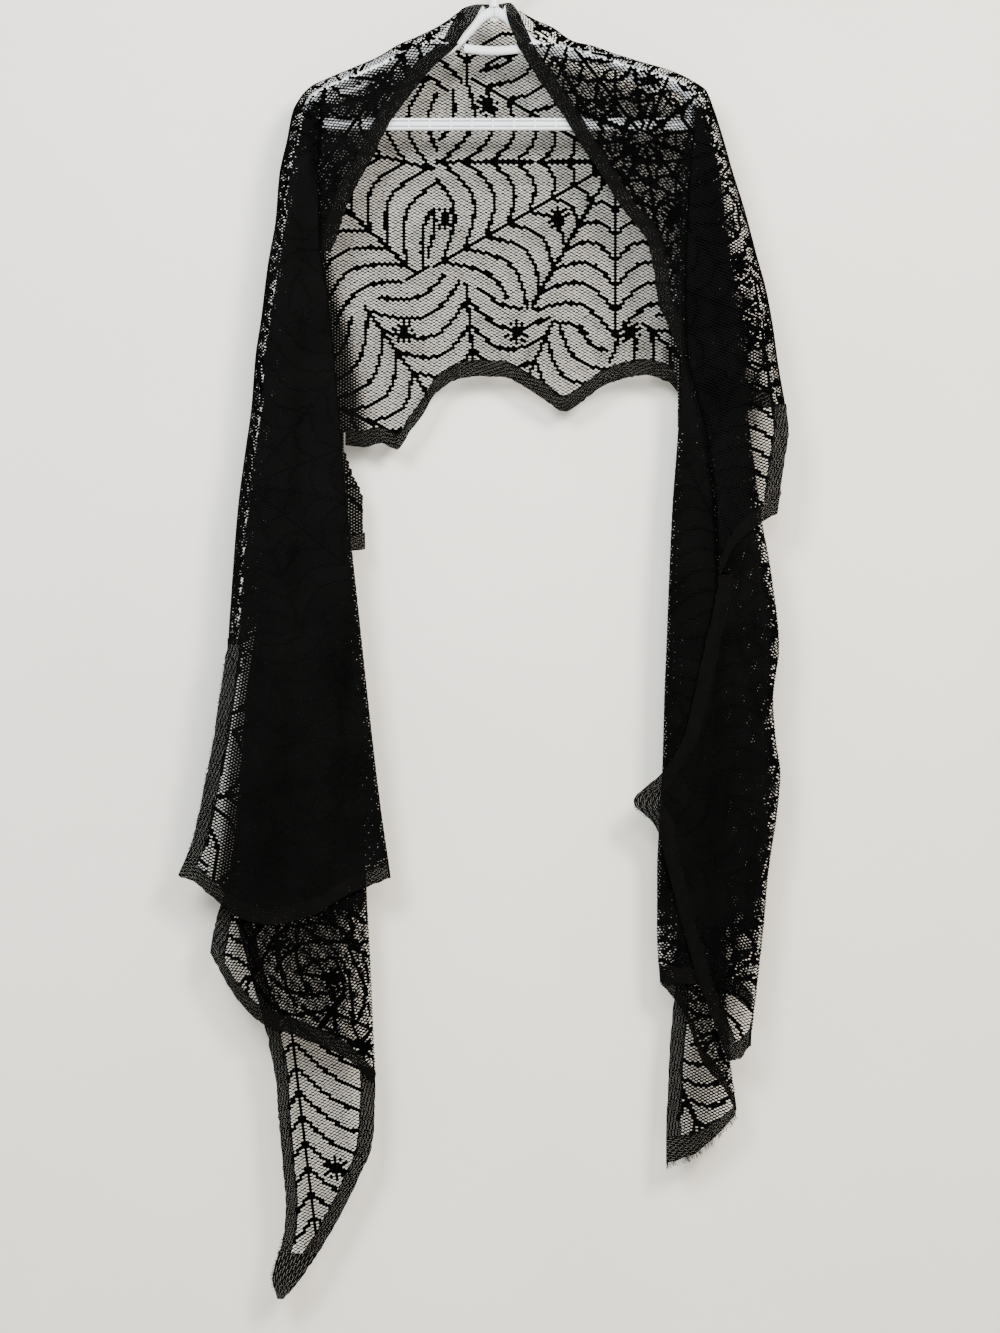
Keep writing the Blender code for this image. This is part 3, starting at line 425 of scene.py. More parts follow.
# %% [markdown]
# ## The net
#
# The holes are hexagons.  Each cell gives six corners; threads join it to its
# neighbours, and small triangles fill the knots.  The knots stand in turn in
# front of and behind the sheet, as in a knitted net, so light catches them.

# %% Make one net from a layer and its outline
DOWN, UP = 0, 1
rng = np.random.default_rng(7)


def new_mesh(name, points, faces, loops, flat, uv, material, smooth=True):
    """An object from arrays: faces is the number of corners of each, loops their points."""
    mesh = bpy.data.meshes.new(name)
    mesh.vertices.add(len(points))
    mesh.vertices.foreach_set("co", (np.asarray(points) * MM).astype(np.float32).ravel())
    mesh.loops.add(len(loops))
    mesh.loops.foreach_set("vertex_index", np.asarray(loops, np.int32))
    mesh.polygons.add(len(faces))
    starts = np.concatenate([[0], np.cumsum(faces)[:-1]]).astype(np.int32)
    mesh.polygons.foreach_set("loop_start", starts)
    mesh.update(calc_edges=True)
    layer = mesh.uv_layers.new(name="OFBake")
    layer.data.foreach_set("uv", np.asarray(uv, np.float32)[loops].ravel())
    spot = mesh.attributes.new("flat_mm", "FLOAT_VECTOR", "POINT")
    spot.data.foreach_set("vector", np.column_stack([flat, np.zeros(len(flat))]).astype(np.float32).ravel())
    mesh.validate()
    if smooth:
        mesh.shade_smooth()
    obj = bpy.data.objects.new(name, mesh)
    bpy.context.scene.collection.objects.link(obj)
    obj.data.materials.append(material)
    return obj


def net(name, lie, inside, box, material, hub=(0, 0), grain=0.0, gather=1.0, least=0.0, spread=1.0):
    """An open net over the part of the plane that `inside` keeps.

    hub is where one web's middle lies, grain how far the net is turned, in degrees,
    gather how strongly the gathers of the falls close its holes, least how closed
    they are at least beside the neck, and spread how far apart its webs lie.
    """
    half = PITCH * math.sqrt(3) / 2
    c, s = math.cos(math.radians(grain)), math.sin(math.radians(grain))
    ends = [((px - hub[0]) * c + (pd - hub[1]) * s, (pd - hub[1]) * c - (px - hub[0]) * s)
            for px in box[:2] for pd in box[2:]]
    i0, i1 = int(min(e[0] for e in ends) / half) - 2, int(max(e[0] for e in ends) / half) + 2
    j0, j1 = int(min(e[1] for e in ends) / PITCH) - 2, int(max(e[1] for e in ends) / PITCH) + 2
    i, j = np.meshgrid(np.arange(i0, i1 + 1), np.arange(j0, j1 + 1), indexing="ij")
    odd = i % 2
    u, v = i * half, (j + odd / 2) * PITCH
    keep = inside(hub[0] + u * c - v * s, hub[1] + u * s + v * c)
    number = np.full((keep.shape[0] + 2, keep.shape[1] + 2), -1)
    number[1:-1, 1:-1][keep] = np.arange(keep.sum())
    a, b = np.nonzero(keep)
    a, b = a + 1, b + 1
    odd = odd[keep]
    cell = number[a, b]
    beside = {0: number[a + 1, b + odd], 1: number[a, b + 1], 2: number[a - 1, b + odd],
              5: number[a + 1, b - 1 + odd]}
    u = u[keep] + rng.normal(0, JITTER, len(cell))
    v = v[keep] + rng.normal(0, JITTER, len(cell))
    lies_x, _, lies_drop, _, _ = lie(hub[0] + u * c - v * s, hub[1] + u * s + v * c)
    beside_neck = least * np.clip((PANEL_END - lies_drop) / 40, 0, 1) * (1 - 0.9 * eased(lies_x, lies_drop))
    tight = np.maximum(gather * gathered(lies_x, lies_drop), beside_neck)
    slant, level = (PITCH - THREAD - TIGHT_THREAD * tight) / 2, (PITCH - KNOT - TIGHT_KNOT * tight) / 2
    tip, shoulder = slant / math.cos(math.pi / 6), (slant - level / 2) / math.cos(math.pi / 6)
    pu = (u[:, None] + tip[:, None] * np.array([1, 0, 0, -1, 0, 0])
          + shoulder[:, None] * np.array([0, 1, -1, 0, -1, 1])).ravel()
    pv = (v[:, None] + level[:, None] * np.array([0, 1, 1, 0, -1, -1])).ravel()
    px, pd = hub[0] + pu * c - pv * s, hub[1] + pu * s + pv * c
    lift = (RELIEF * (1 - 0.75 * tight)[:, None] * np.where(np.arange(6) % 2, -1.0, 1.0)).ravel()
    ax, ay, ad, nx, ny = lie(px, pd)
    points = np.column_stack([ax + nx * lift, ay + ny * lift, -ad])
    quads = []
    for m in (0, 1, 2):
        other = beside[m]
        ok = other >= 0
        own, next_one = cell[ok] * 6, other[ok] * 6
        quads.append(np.column_stack([own + m, own + m + 1, next_one + (m + 3) % 6, next_one + (m + 4) % 6]))
    first, last = beside[0], beside[5]
    ok = (first >= 0) & (last >= 0)
    triangles = [np.column_stack([cell[ok] * 6, first[ok] * 6 + 4, last[ok] * 6 + 2])]
    second = beside[1]
    ok = (first >= 0) & (second >= 0)
    triangles.append(np.column_stack([cell[ok] * 6 + 1, second[ok] * 6 + 5, first[ok] * 6 + 3]))
    full = cell[pattern(u, v, spread)] * 6
    quads += [full[:, None] + np.array([0, 1, 2, 3]), full[:, None] + np.array([3, 4, 5, 0])]
    quads, triangles = np.vstack(quads), np.vstack(triangles)
    loops = np.concatenate([quads.ravel(), triangles.ravel()])
    faces = np.concatenate([np.full(len(quads), 4), np.full(len(triangles), 3)])
    flat = np.column_stack([pu, pv])
    low = flat.min(0)
    size = (flat.max(0) - low).max() + 2
    obj = new_mesh(name, points, faces, loops, flat, (flat - low + 1) / size, material)
    area = len(u) * PITCH * half
    cut = px.max() - px.min(), pd.max() - pd.min()
    print(f"{name}: {len(u)} cells, {2 * len(quads) + len(triangles)} triangles, "
          f"{cut[0]:.0f} x {cut[1]:.0f} mm, {area / 1e6:.3f} m2")
    return obj, (cut[0] * MM, cut[1] * MM), area * MM * MM


# %% [markdown]
# ## Materials
#
# Colours are given as they look on a screen and turned linear by one function.

# %% Materials
def linear(code):
    """A hex colour, such as 2A2927, as linear red, green, blue, alpha."""
    parts = [int(code[k:k + 2], 16) / 255 for k in (0, 2, 4)]
    return tuple(c / 12.92 if c <= 0.04045 else ((c + 0.055) / 1.055) ** 2.4 for c in parts) + (1.0,)


def add(tree, kind, settings=None, **links):
    """Adds a node with its settings, and links its inputs: name=(node, output) or a value."""
    node = tree.nodes.new(kind)
    for key, value in (settings or {}).items():
        setattr(node, key, value)
    for key, value in links.items():
        socket = node.inputs[int(key[1:])] if key[0] == "_" else node.inputs[key.replace("_", " ")]
        if isinstance(value, tuple) and len(value) == 2 and hasattr(value[0], "outputs"):
            tree.links.new(value[0].outputs[value[1]], socket)
        else:
            socket.default_value = value
    return node


def base(name):
    mat = bpy.data.materials.new(name)
    mat.use_nodes = True
    tree = mat.node_tree
    return mat, tree, tree.nodes["Principled BSDF"]


def feed(tree, node, output, shader, name):
    tree.links.new(node.outputs[output], shader.inputs[name])


def net_material():
    """Black polyester filament yarn, warp-knitted: slight sheen, uneven dye."""
    mat, tree, shader = base("warp_knitted_polyester_net")
    spot = add(tree, "ShaderNodeAttribute", {"attribute_name": "flat_mm"})
    cloud = add(tree, "ShaderNodeTexNoise", Vector=(spot, "Vector"), Scale=0.02, Detail=3.0)
    fibre = add(tree, "ShaderNodeTexNoise", Vector=(spot, "Vector"), Scale=2.6, Detail=2.0)
    both = add(tree, "ShaderNodeMath", {"operation": "MULTIPLY"}, _0=(cloud, "Fac"), _1=(fibre, "Fac"))
    ramp = add(tree, "ShaderNodeValToRGB", Fac=(both, "Value"))
    ramp.color_ramp.elements[0].position, ramp.color_ramp.elements[1].position = 0.12, 0.42
    ramp.color_ramp.elements[0].color, ramp.color_ramp.elements[1].color = linear("020202"), linear("060606")
    feed(tree, ramp, "Color", shader, "Base Color")
    bump = add(tree, "ShaderNodeBump", Height=(fibre, "Fac"), Strength=0.35, Distance=0.0002)
    feed(tree, bump, "Normal", shader, "Normal")
    shader.inputs["Roughness"].default_value = 0.62
    shader.inputs["Specular IOR Level"].default_value = 0.02
    return mat


def band_material():
    """The solid edge: the same yarn, knitted close, with fine ribs along it."""
    mat, tree, shader = base("close_knitted_polyester_edge")
    spot = add(tree, "ShaderNodeAttribute", {"attribute_name": "flat_mm"})
    ribs = add(tree, "ShaderNodeTexWave", {"bands_direction": "X", "wave_profile": "SIN"},
               Vector=(spot, "Vector"), Scale=0.21, Distortion=1.2, Detail=1.0)
    ribs.inputs["Detail Scale"].default_value = 0.6
    cloud = add(tree, "ShaderNodeTexNoise", Vector=(spot, "Vector"), Scale=0.05, Detail=4.0)
    stitch = add(tree, "ShaderNodeTexNoise", Vector=(spot, "Vector"), Scale=1.8, Detail=2.0)
    mixed = add(tree, "ShaderNodeMath", {"operation": "MULTIPLY_ADD"}, _0=(ribs, "Fac"), _1=0.35, _2=(cloud, "Fac"))
    ramp = add(tree, "ShaderNodeValToRGB", Fac=(mixed, "Value"))
    ramp.color_ramp.elements[0].position, ramp.color_ramp.elements[1].position = 0.35, 0.95
    ramp.color_ramp.elements[0].color, ramp.color_ramp.elements[1].color = linear("020202"), linear("060605")
    feed(tree, ramp, "Color", shader, "Base Color")
    high = add(tree, "ShaderNodeMath", {"operation": "ADD"}, _0=(ribs, "Fac"), _1=(stitch, "Fac"))
    bump = add(tree, "ShaderNodeBump", Height=(high, "Value"), Strength=0.5, Distance=0.0003)
    feed(tree, bump, "Normal", shader, "Normal")
    shader.inputs["Roughness"].default_value = 0.72
    shader.inputs["Specular IOR Level"].default_value = 0.03
    return mat


def plastic_material():
    """White moulded polypropylene: faint flow marks and a soft shine."""
    mat, tree, shader = base("moulded_white_polypropylene")
    place = add(tree, "ShaderNodeTexCoord")
    cloud = add(tree, "ShaderNodeTexNoise", Vector=(place, "Object"), Scale=22.0, Detail=3.0)
    fine = add(tree, "ShaderNodeTexNoise", Vector=(place, "Object"), Scale=900.0, Detail=2.0)
    ramp = add(tree, "ShaderNodeValToRGB", Fac=(cloud, "Fac"))
    ramp.color_ramp.elements[0].color, ramp.color_ramp.elements[1].color = linear("D2D5DA"), linear("DCDFE3")
    feed(tree, ramp, "Color", shader, "Base Color")
    bump = add(tree, "ShaderNodeBump", Height=(fine, "Fac"), Strength=0.12, Distance=0.0002)
    feed(tree, bump, "Normal", shader, "Normal")
    shine = add(tree, "ShaderNodeMapRange", Value=(cloud, "Fac"), To_Min=0.16, To_Max=0.3)
    feed(tree, shine, "Result", shader, "Roughness")
    shader.inputs["Subsurface Weight"].default_value = 0.08
    shader.inputs["Subsurface Radius"].default_value = (0.004, 0.004, 0.004)
    return mat


NET, BAND, PLASTIC = net_material(), band_material(), plastic_material()
print("materials:", NET.name, BAND.name, PLASTIC.name)

# %% [markdown]
# ## The regions of each layer
#
# A region is what lies between two lines and two edges of a layer.  The edges
# are read by the fraction across, as in the part.

# %% Regions
OVERLAP = 3.0          # the net runs this far under a band
BAND_WIDTHS = (TOP_BAND, HEM_BAND, TAIL_BAND)


def between(left, right, top, bottom, turn=None, layers=None, bands=(0, 0)):
    """A test for points between two lines, with a tight fold's extra cloth at one side.

    bands are the widths that solid bands take at the left and the right.
    """
    def inside(x, drop):
        low, high = left(drop), right(drop)
        fraction = np.clip((x - low) / np.maximum(high - low, 1.0), 0, 1)
        taken = [max(width - OVERLAP, 0) if width in (0, *BAND_WIDTHS) else width(drop) - OVERLAP for width in bands]
        low, high = low + taken[0], high - taken[1]
        if turn:
            extra = math.pi * np.abs(DEPTH[layers[1]](drop) - DEPTH[layers[0]](drop)) / 2
            low, high = (low, high + extra) if turn > 0 else (low - extra, high)
        return (x >= low) & (x <= high) & (drop >= top(fraction)) & (drop <= bottom(fraction))
    return inside


def either(*tests):
    def inside(x, drop):
        kept = tests[0](x, drop)
        for test in tests[1:]:
            kept = kept | test(x, drop)
        return kept
    return inside


def at(value):
    return lambda anything: np.full(np.shape(anything), float(value))


def moved(line, distance):
    return lambda drop: line(drop) + distance


def raised(edge, amount):
    return lambda fraction: edge(fraction) - amount


li, ri = curve(LEFT_INNER), curve(RIGHT_INNER)
l_flap, r_flap = curve(LEFT_FLAP), curve(RIGHT_FLAP)
l_free, r_free = curve(LEFT_FREE_EDGE), curve(RIGHT_FREE_EDGE)
l_second, r_first = column(LEFT_COLUMNS, LEFT_FOLDS, "second"), column(RIGHT_COLUMNS, RIGHT_FOLDS, "first")
l_top, r_top = column(LEFT_COLUMNS, LEFT_FOLDS, "top"), column(RIGHT_COLUMNS, RIGHT_FOLDS, "top")
tail_left, tail_right = column(TAIL_COLUMNS, LEFT_TAIL, "left"), column(TAIL_COLUMNS, LEFT_TAIL, "right")
l_width, r_width = slanted(l_free, TOP_BAND), slanted(r_free, TOP_BAND)
corner_width = curve([(652, 16), (845, 16), (866, 21), (887, 31), (905, 24), (925, 17), (940, 16), (1156, 16)])


def l_over(drop):
    outer = li(drop)
    return np.where(drop > FOLDS_TOP, np.maximum(outer, left_fold["second"](drop)), outer)


def r_over(drop):
    outer = ri(drop)
    return np.where(drop > FOLDS_TOP, np.minimum(outer, right_fold["second"](drop)), outer)


def l_band(drop):
    return l_free(drop) - l_width(drop)


def r_band(drop):
    return r_free(drop) + r_width(drop)


left_end, right_end = BACK_LEFT - 12, BACK_RIGHT + 20
upper = curve([(x, d) for d, x in reversed(LEFT_INNER) if left_end < x < NECK_EDGE[0][0] - 3] + NECK_EDGE
              + [(x, d) for d, x in RIGHT_INNER if NECK_EDGE[-1][0] + 3 < x < right_end])
back_hem = curve(BACK_HEM)


def in_back_panel(x, drop):
    return ((x >= BACK_LEFT - 2) & (x <= BACK_RIGHT + 2) & (drop >= upper(x))
            & (drop <= back_hem(x) - HEM_DROP + OVERLAP))


BOXES = {"left": (-340, -100), "right": (120, 310)}


def make_net(name, layer, side, test, nodes, drops, turn=None, hub=(0, 0), grain=0.0, gather=1.0, least=0.0, spread=1.0):
    piece, cut, area = net(name, flat_layer(layer, turn), test, (*side, *drops), NET, hub, grain, gather, least,
                           spread)
    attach(piece, "root")
    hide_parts(*nodes)


# %% [markdown]
# ## The nets of the shawl
#
# One net for each layer, from the back to the front.

# %% Back net
left_back_hem, right_back_hem = curve(LEFT_BACK_HEM), curve(RIGHT_BACK_HEM)
back_test = either(
    in_back_panel,
    between(li, curve(LEFT_BACK_INNER), curve(LEFT_BACK_TOP), raised(left_back_hem, HEM_DROP - OVERLAP)),
    between(at(BACK_RIGHT), ri, curve(RIGHT_BACK_TOP), raised(right_back_hem, HEM_DROP - OVERLAP)))
make_net("back_net", "back", (-290, 310), back_test, ["back_panel", "left_back_layer", "right_back_layer"],
         (60, 730), hub=(121, 222))

# %% Big folds over the arms
for side, outline, inner, name in ((-1, LEFT_OUTLINE, LEFT_INNER, "left_outer_fold"),
                                   (1, RIGHT_OUTLINE, RIGHT_INNER, "right_outer_fold")):
    lie, test, box = big_fold(outline, inner, side)
    piece, cut, area = net(name + "_net", lie, test, box, NET, (40, 60), 11 * side, 0.6 if side > 0 else 0.8)
    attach(piece, "root")
    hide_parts(name)

# %% Left nets
hem = curve(LEFT_FRONT_HEM)
make_net("left_front_net", "front", BOXES["left"], either(
    between(li, left_fold["first"], at(LEFT_FIRST_TOP), at(LEFT_FRONT_SPLIT + 2), 1, ("front", "second")),
    between(l_flap, left_fold["first"], at(LEFT_FRONT_SPLIT),
            raised(hem, HEM_DROP - OVERLAP), 1, ("front", "second"), (HEM_BAND, 0))),
    ["left_first_layer", "left_flap"], (150, 1020), (1, left_fold["first"], "second"), (-260, 560), 9)
make_net("left_second_net", "second", BOXES["left"], between(
    left_fold["second"], left_fold["first"], at(LEFT_SECOND_TOP), curve(LEFT_SECOND_EDGE), -1, ("second", "third")),
    ["left_second_layer"], (150, 1000), (-1, left_fold["second"], "third"), (-130, 430), -14)
hem = curve(LEFT_THIRD_HEM)
make_net("left_third_net", "third", (-340, -20), either(
    between(l_over, moved(l_band, OVERLAP), curve(LEFT_PANEL_TOP), at(FRONT_SPLIT)),
    between(left_fold["second"], left_fold["third"], at(FRONT_SPLIT), at(LEFT_THIRD_SPLIT), 1, ("third", "fourth")),
    between(l_second, left_fold["third"], at(LEFT_THIRD_SPLIT),
            raised(hem, HEM_DROP - OVERLAP), 1, ("third", "fourth"), (HEM_BAND, 0))),
    ["left_front_panel", "left_third_layer", "left_lower_layer"], (90, 1190),
    (1, lambda d: np.where(d < FRONT_SPLIT, 999.0, left_fold["third"](d)), "fourth"), (-190, 240), -24,
    least=1.1)
make_net("left_inner_net", "fourth", BOXES["left"], either(
    between(l_top, left_fold["third"], at(LEFT_INNER_TOP), at(TAIL_TOP_DROP), bands=(TOP_BAND, 0)),
    between(tail_left, tail_right, at(TAIL_TOP_DROP), at(TAIL_TIP_DROP + 1), bands=(TAIL_BAND, HEM_BAND))),
    ["left_inner_layer", "left_tail"], (380, 1370), hub=(-176, 1446), grain=-7, spread=1.85)

# %% Right nets
hem = curve(RIGHT_FRONT_HEM)
make_net("right_front_net", "front", BOXES["right"], either(
    between(right_fold["first"], ri, at(RIGHT_FIRST_TOP), at(RIGHT_FRONT_SPLIT + 2), -1, ("front", "second")),
    between(right_fold["first"], r_flap, at(RIGHT_FRONT_SPLIT),
            raised(hem, HEM_DROP - OVERLAP), -1, ("front", "second"), (0, HEM_BAND))),
    ["right_first_layer", "right_flap"], (150, 660), (-1, right_fold["first"], "second"), (270, 390), -8, 0.66)
hem = curve(RIGHT_SECOND_EDGE)
make_net("right_second_net", "second", BOXES["right"], either(
    between(right_fold["first"], right_fold["second"], at(RIGHT_SECOND_TOP), at(RIGHT_SECOND_SPLIT), 1,
            ("second", "third")),
    between(r_first, right_fold["second"], at(RIGHT_SECOND_SPLIT),
            raised(hem, HEM_DROP - OVERLAP), 1, ("second", "third"), (corner_width, 0))),
    ["right_second_layer", "right_corner_layer"], (150, 1170), (1, right_fold["second"], "third"), (240, 700), 13)
hem = curve(RIGHT_THIRD_HEM)
make_net("right_third_net", "third", (10, 310), either(
    between(moved(r_band, -OVERLAP), r_over, curve(RIGHT_PANEL_TOP), at(RIGHT_PANEL_SPLIT)),
    between(right_fold["third"], right_fold["second"], at(RIGHT_PANEL_SPLIT), raised(hem, HEM_DROP - OVERLAP), -1,
            ("third", "fourth"))),
    ["right_front_panel", "right_third_layer"], (90, 1120),
    (-1, lambda d: np.where(d < RIGHT_PANEL_SPLIT, -999.0, right_fold["third"](d)), "fourth"), (150, 200), 22,
    least=0.2)
hem = curve(RIGHT_FOURTH_HEM)
make_net("right_fourth_net", "fourth", BOXES["right"], between(
    right_fold["third"], right_fold["fourth"], at(RIGHT_FOURTH_TOP), raised(hem, HEM_DROP - OVERLAP), 1,
    ("fourth", "fifth")),
    ["right_fourth_layer"], (460, 1220), (1, right_fold["fourth"], "fifth"), (200, 860), -17)
make_net("right_tail_net", "fifth", BOXES["right"], between(
    r_top, right_fold["fourth"], at(RIGHT_TAIL_TOP), raised(curve(RIGHT_TAIL_BAND), -OVERLAP), bands=(TOP_BAND, 0)),
    ["right_tail_layer"], (520, 1270), hub=(236, 1290), grain=6)

# %% [markdown]
# ## The solid bands
#
# A band is a strip of close-knitted cloth along an edge, on its net's layer.
# It is made of ribs with hairline gaps between them, tied at every third
# stitch, so the wall shows through it a little.

# %% Bands
UNEVEN = 0.35          # how far the bands' edges waver
THREAD_HALF = 0.17     # half the width of a frayed thread
RIBS = 14              # ribs across a band
OPEN = 0.045           # share of a rib's width left open beside it


def frayed(edge, out, lengths, count):
    """Loose threads along an edge: each has three (x, drop) places."""
    threads = []
    for t in rng.uniform(0, 1, count):
        x, drop = edge(t)
        length, lean = rng.uniform(*lengths), rng.normal(0, 0.22)
        way = np.array([out[0] - out[1] * lean, out[1] + out[0] * lean])
        bend = np.array([-out[1], out[0]]) * rng.normal(0, 0.12) * length
        start = np.array([x, drop], float) - np.array(out) * 0.8
        threads.append([start, start + way * length * 0.55 + bend * 0.4, start + way * (length + 0.8) + bend])
    return np.array(threads, float)


def band(name, lie, rows, edge_along="v", threads=None, uneven=UNEVEN):
    """A strip from a grid of (x, drop) rows; the ribs run along it."""
    grid = np.array(rows, float)
    if edge_along == "u":
        grid = grid.transpose(1, 0, 2)
    for edge in (grid[:, 0], grid[:, -1]):
        edge[1:-1] += rng.normal(0, uneven, edge[1:-1].shape)
    sides = (np.repeat(np.arange(RIBS + 1), 2)[1:-1] + np.tile([OPEN / 2, -OPEN / 2], RIBS)) / RIBS
    sides[0], sides[-1] = 0, 1
    place = sides * (grid.shape[1] - 1)
    k = np.minimum(place.astype(int), grid.shape[1] - 2)
    part = (place - k)[:, None]
    grid = grid[:, k] * (1 - part) + grid[:, k + 1] * part
    m, n = grid.shape[:2]
    x, drop = grid[..., 0].ravel(), grid[..., 1].ravel()
    ax, ay, ad, _, _ = lie(x, drop)
    points = np.column_stack([ax, ay, -ad])
    index = np.arange(m * n).reshape(m, n)
    knitted = np.ones((m - 1, n - 1), bool)
    knitted[:, 1::2] = (np.arange(m - 1)[:, None] + np.arange(RIBS - 1)) % 3 == 0
    quads = np.stack([index[:-1, :-1], index[:-1, 1:], index[1:, 1:], index[1:, :-1]], -1)[knitted]
    across = np.hypot(*np.diff(grid, axis=1).transpose(2, 0, 1)).mean(0)
    down = np.hypot(*np.diff(grid, axis=0).transpose(2, 0, 1)).mean(1)
    u = np.tile(np.concatenate([[0], np.cumsum(across)]), (m, 1)).ravel()
    v = np.repeat(np.concatenate([[0], np.cumsum(down)]), n)
    if threads is not None:
        step = np.diff(threads, axis=1)[:, [0, 1, 1]]
        aside = np.stack([-step[..., 1], step[..., 0]], -1) * THREAD_HALF / np.linalg.norm(step, axis=-1)[..., None]
        pair = np.stack([threads - aside, threads + aside], 2)
        tx, ty, td, _, _ = lie(pair[..., 0].ravel(), pair[..., 1].ravel())
        slot = np.arange(len(threads))
        tu = u.max() + 3 + 1.2 * (slot % 40)[:, None, None] + np.array([0, 2 * THREAD_HALF]) + np.zeros((1, 3, 1))
        tv = 10.0 * (slot // 40)[:, None, None] + np.array([0, 4.0, 8.0])[:, None] + np.zeros((1, 1, 2))
        first = len(points) + slot[:, None] * 6
        quads = np.vstack([quads, first + np.array([0, 1, 3, 2]), first + np.array([2, 3, 5, 4])])
        points = np.vstack([points, np.column_stack([tx, ty, -td])])
        u, v = np.concatenate([u, tu.ravel()]), np.concatenate([v, tv.ravel()])
    flat = np.column_stack([u, v])
    size = max(u.max(), v.max()) + 2
    obj = new_mesh(name + "_knit", points, np.full(len(quads), 4), quads.ravel(), flat,
                   np.column_stack([(u + 1) / size, (v + 1) / size]), BAND)
    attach(obj, "root")
    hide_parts(name)
    return obj


def spaced(count):
    return np.linspace(0, 1, count + 1)


def side_band(name, layer, left, right, top, bottom, rows, across=4, threads=None):
    """A band that runs down between two lines, to a drop or to an edge given by the fraction across it."""
    grid = []
    for t in spaced(rows):
        row = []
        for s in spaced(across):
            drop = top + ((bottom(s) if callable(bottom) else bottom) - top) * t
            row.append((float(left(drop) + (right(drop) - left(drop)) * s), float(drop)))
        grid.append(row)
    return band(name, flat_layer(layer), grid, threads=threads)


def meets(edge, start, end):
    """The drop where a side band meets the hem below it; start and end are fractions across the hem."""
    return lambda s: float(edge(start + (end - start) * s)) - HEM_DROP + 0.6


def hem_band(name, layer, left, right, edge, height, columns, turn=None, extra=0.0, threads=None):
    """A band along a lower edge, given by the fraction across."""
    grid = []
    for s in spaced(4):
        row = []
        for t in spaced(columns):
            drop = edge(t) - height * (1 - s)
            at_x = left(drop) + (right(drop) - left(drop)) * t
            row.append((float(at_x), float(drop)))
        if extra:
            side = turn[0]
            row = row + [(row[-1][0] + extra * k / 5, row[-1][1]) for k in range(1, 6)] if side > 0 else \
                [(row[0][0] - extra * k / 5, row[0][1]) for k in range(5, 0, -1)] + row
        grid.append(row)
    return band(name, flat_layer(layer, turn), grid, "u", threads)


half_turn = math.pi * 2.25
x_line = at
hem_band("back_hem_band", "back", x_line(BACK_LEFT), x_line(BACK_RIGHT),
         lambda t: back_hem(BACK_LEFT + (BACK_RIGHT - BACK_LEFT) * t), HEM_DROP, 110)
hem_band("left_back_hem_band", "back", li, curve(LEFT_BACK_INNER), left_back_hem, HEM_DROP, 30)
hem_band("right_back_hem_band", "back", x_line(BACK_RIGHT), ri, right_back_hem, HEM_DROP, 24)
side_band("left_front_top_band", "third", l_band, l_free, 103, FRONT_SPLIT + 2, 50)
side_band("right_front_top_band", "third", r_free, r_band, 103, RIGHT_PANEL_SPLIT, 60)
hem = curve(LEFT_FRONT_HEM)
turn = (1, left_fold["first"], "second")
side_band("left_flap_side_hem", "front", l_flap, moved(l_flap, HEM_BAND), LEFT_FRONT_SPLIT - 7, meets(hem, 0, 0.075), 50,
          threads=frayed(lambda t: (l_flap(735 + 205 * t), 735 + 205 * t), (-0.99, 0.15), (0.5, 1.8), 170))
hem_band("left_flap_lower_hem", "front", l_flap, left_fold["first"], hem, HEM_DROP, 60, turn, half_turn)
hem = curve(LEFT_THIRD_HEM)
turn = (1, left_fold["third"], "fourth")
side_band("left_lower_side_hem", "third", l_second, moved(l_second, HEM_BAND), LEFT_THIRD_SPLIT,
          meets(hem, 0, 0.096), 24)
hem_band("left_lower_hem", "third", l_second, left_fold["third"], hem, HEM_DROP, 60, turn, half_turn)
side_band("left_inner_top_band", "fourth", l_top, moved(l_top, TOP_BAND), LEFT_INNER_TOP, TAIL_TOP_DROP, 120)
side_band("left_tail_top_band", "fourth", tail_left, moved(tail_left, TAIL_BAND), TAIL_TOP_DROP, TAIL_TIP_DROP, 40,
          threads=frayed(lambda t: (tail_left(1335 + 20 * t), 1335 + 20 * t), (-0.99, 0.1), (0.8, 2.6), 34))
side_band("left_tail_hem", "fourth", moved(tail_right, -HEM_BAND), tail_right, TAIL_TOP_DROP - 15, TAIL_TIP_DROP, 40)
side_band("left_tail_tip", "fourth", tail_left, tail_right, TAIL_TIP_DROP, 1403.5, 14, 8,
          threads=frayed(lambda t: (tail_left(1355 + 40 * t), 1355 + 40 * t), (-0.99, 0.1), (0.8, 3.0), 60))
hem = curve(RIGHT_FRONT_HEM)
turn = (-1, right_fold["first"], "second")
side_band("right_flap_side_hem", "front", moved(r_flap, -HEM_BAND), r_flap, RIGHT_FRONT_SPLIT,
          meets(hem, 0.75, 1), 24)
hem_band("right_flap_lower_hem", "front", right_fold["first"], r_flap, hem, HEM_DROP, 40, turn, half_turn)
hem = curve(RIGHT_SECOND_EDGE)
turn = (1, right_fold["second"], "third")
side_band("right_corner_side_hem", "second", r_first, lambda d: r_first(d) + corner_width(d), RIGHT_SECOND_SPLIT,
          meets(hem, 0, 0.6), 120,
          threads=frayed(lambda t: (r_first(890 + 22 * t), 890 + 22 * t), (-0.7, 0.71), (0.6, 2.4), 40))
hem_band("right_corner_lower_hem", "second", r_first, right_fold["second"], hem, HEM_DROP, 20, turn, half_turn)
hem_band("right_third_hem", "third", right_fold["third"], right_fold["second"], curve(RIGHT_THIRD_HEM), HEM_DROP, 30,
         (-1, right_fold["third"], "fourth"), half_turn,
         frayed(lambda t: (165 + 22 * t, 1075.2), (0.0, 1.0), (1.5, 5.5), 60))
hem_band("right_fourth_hem", "fourth", right_fold["third"], right_fold["fourth"], curve(RIGHT_FOURTH_HEM), HEM_DROP, 30,
         (1, right_fold["fourth"], "fifth"), half_turn)
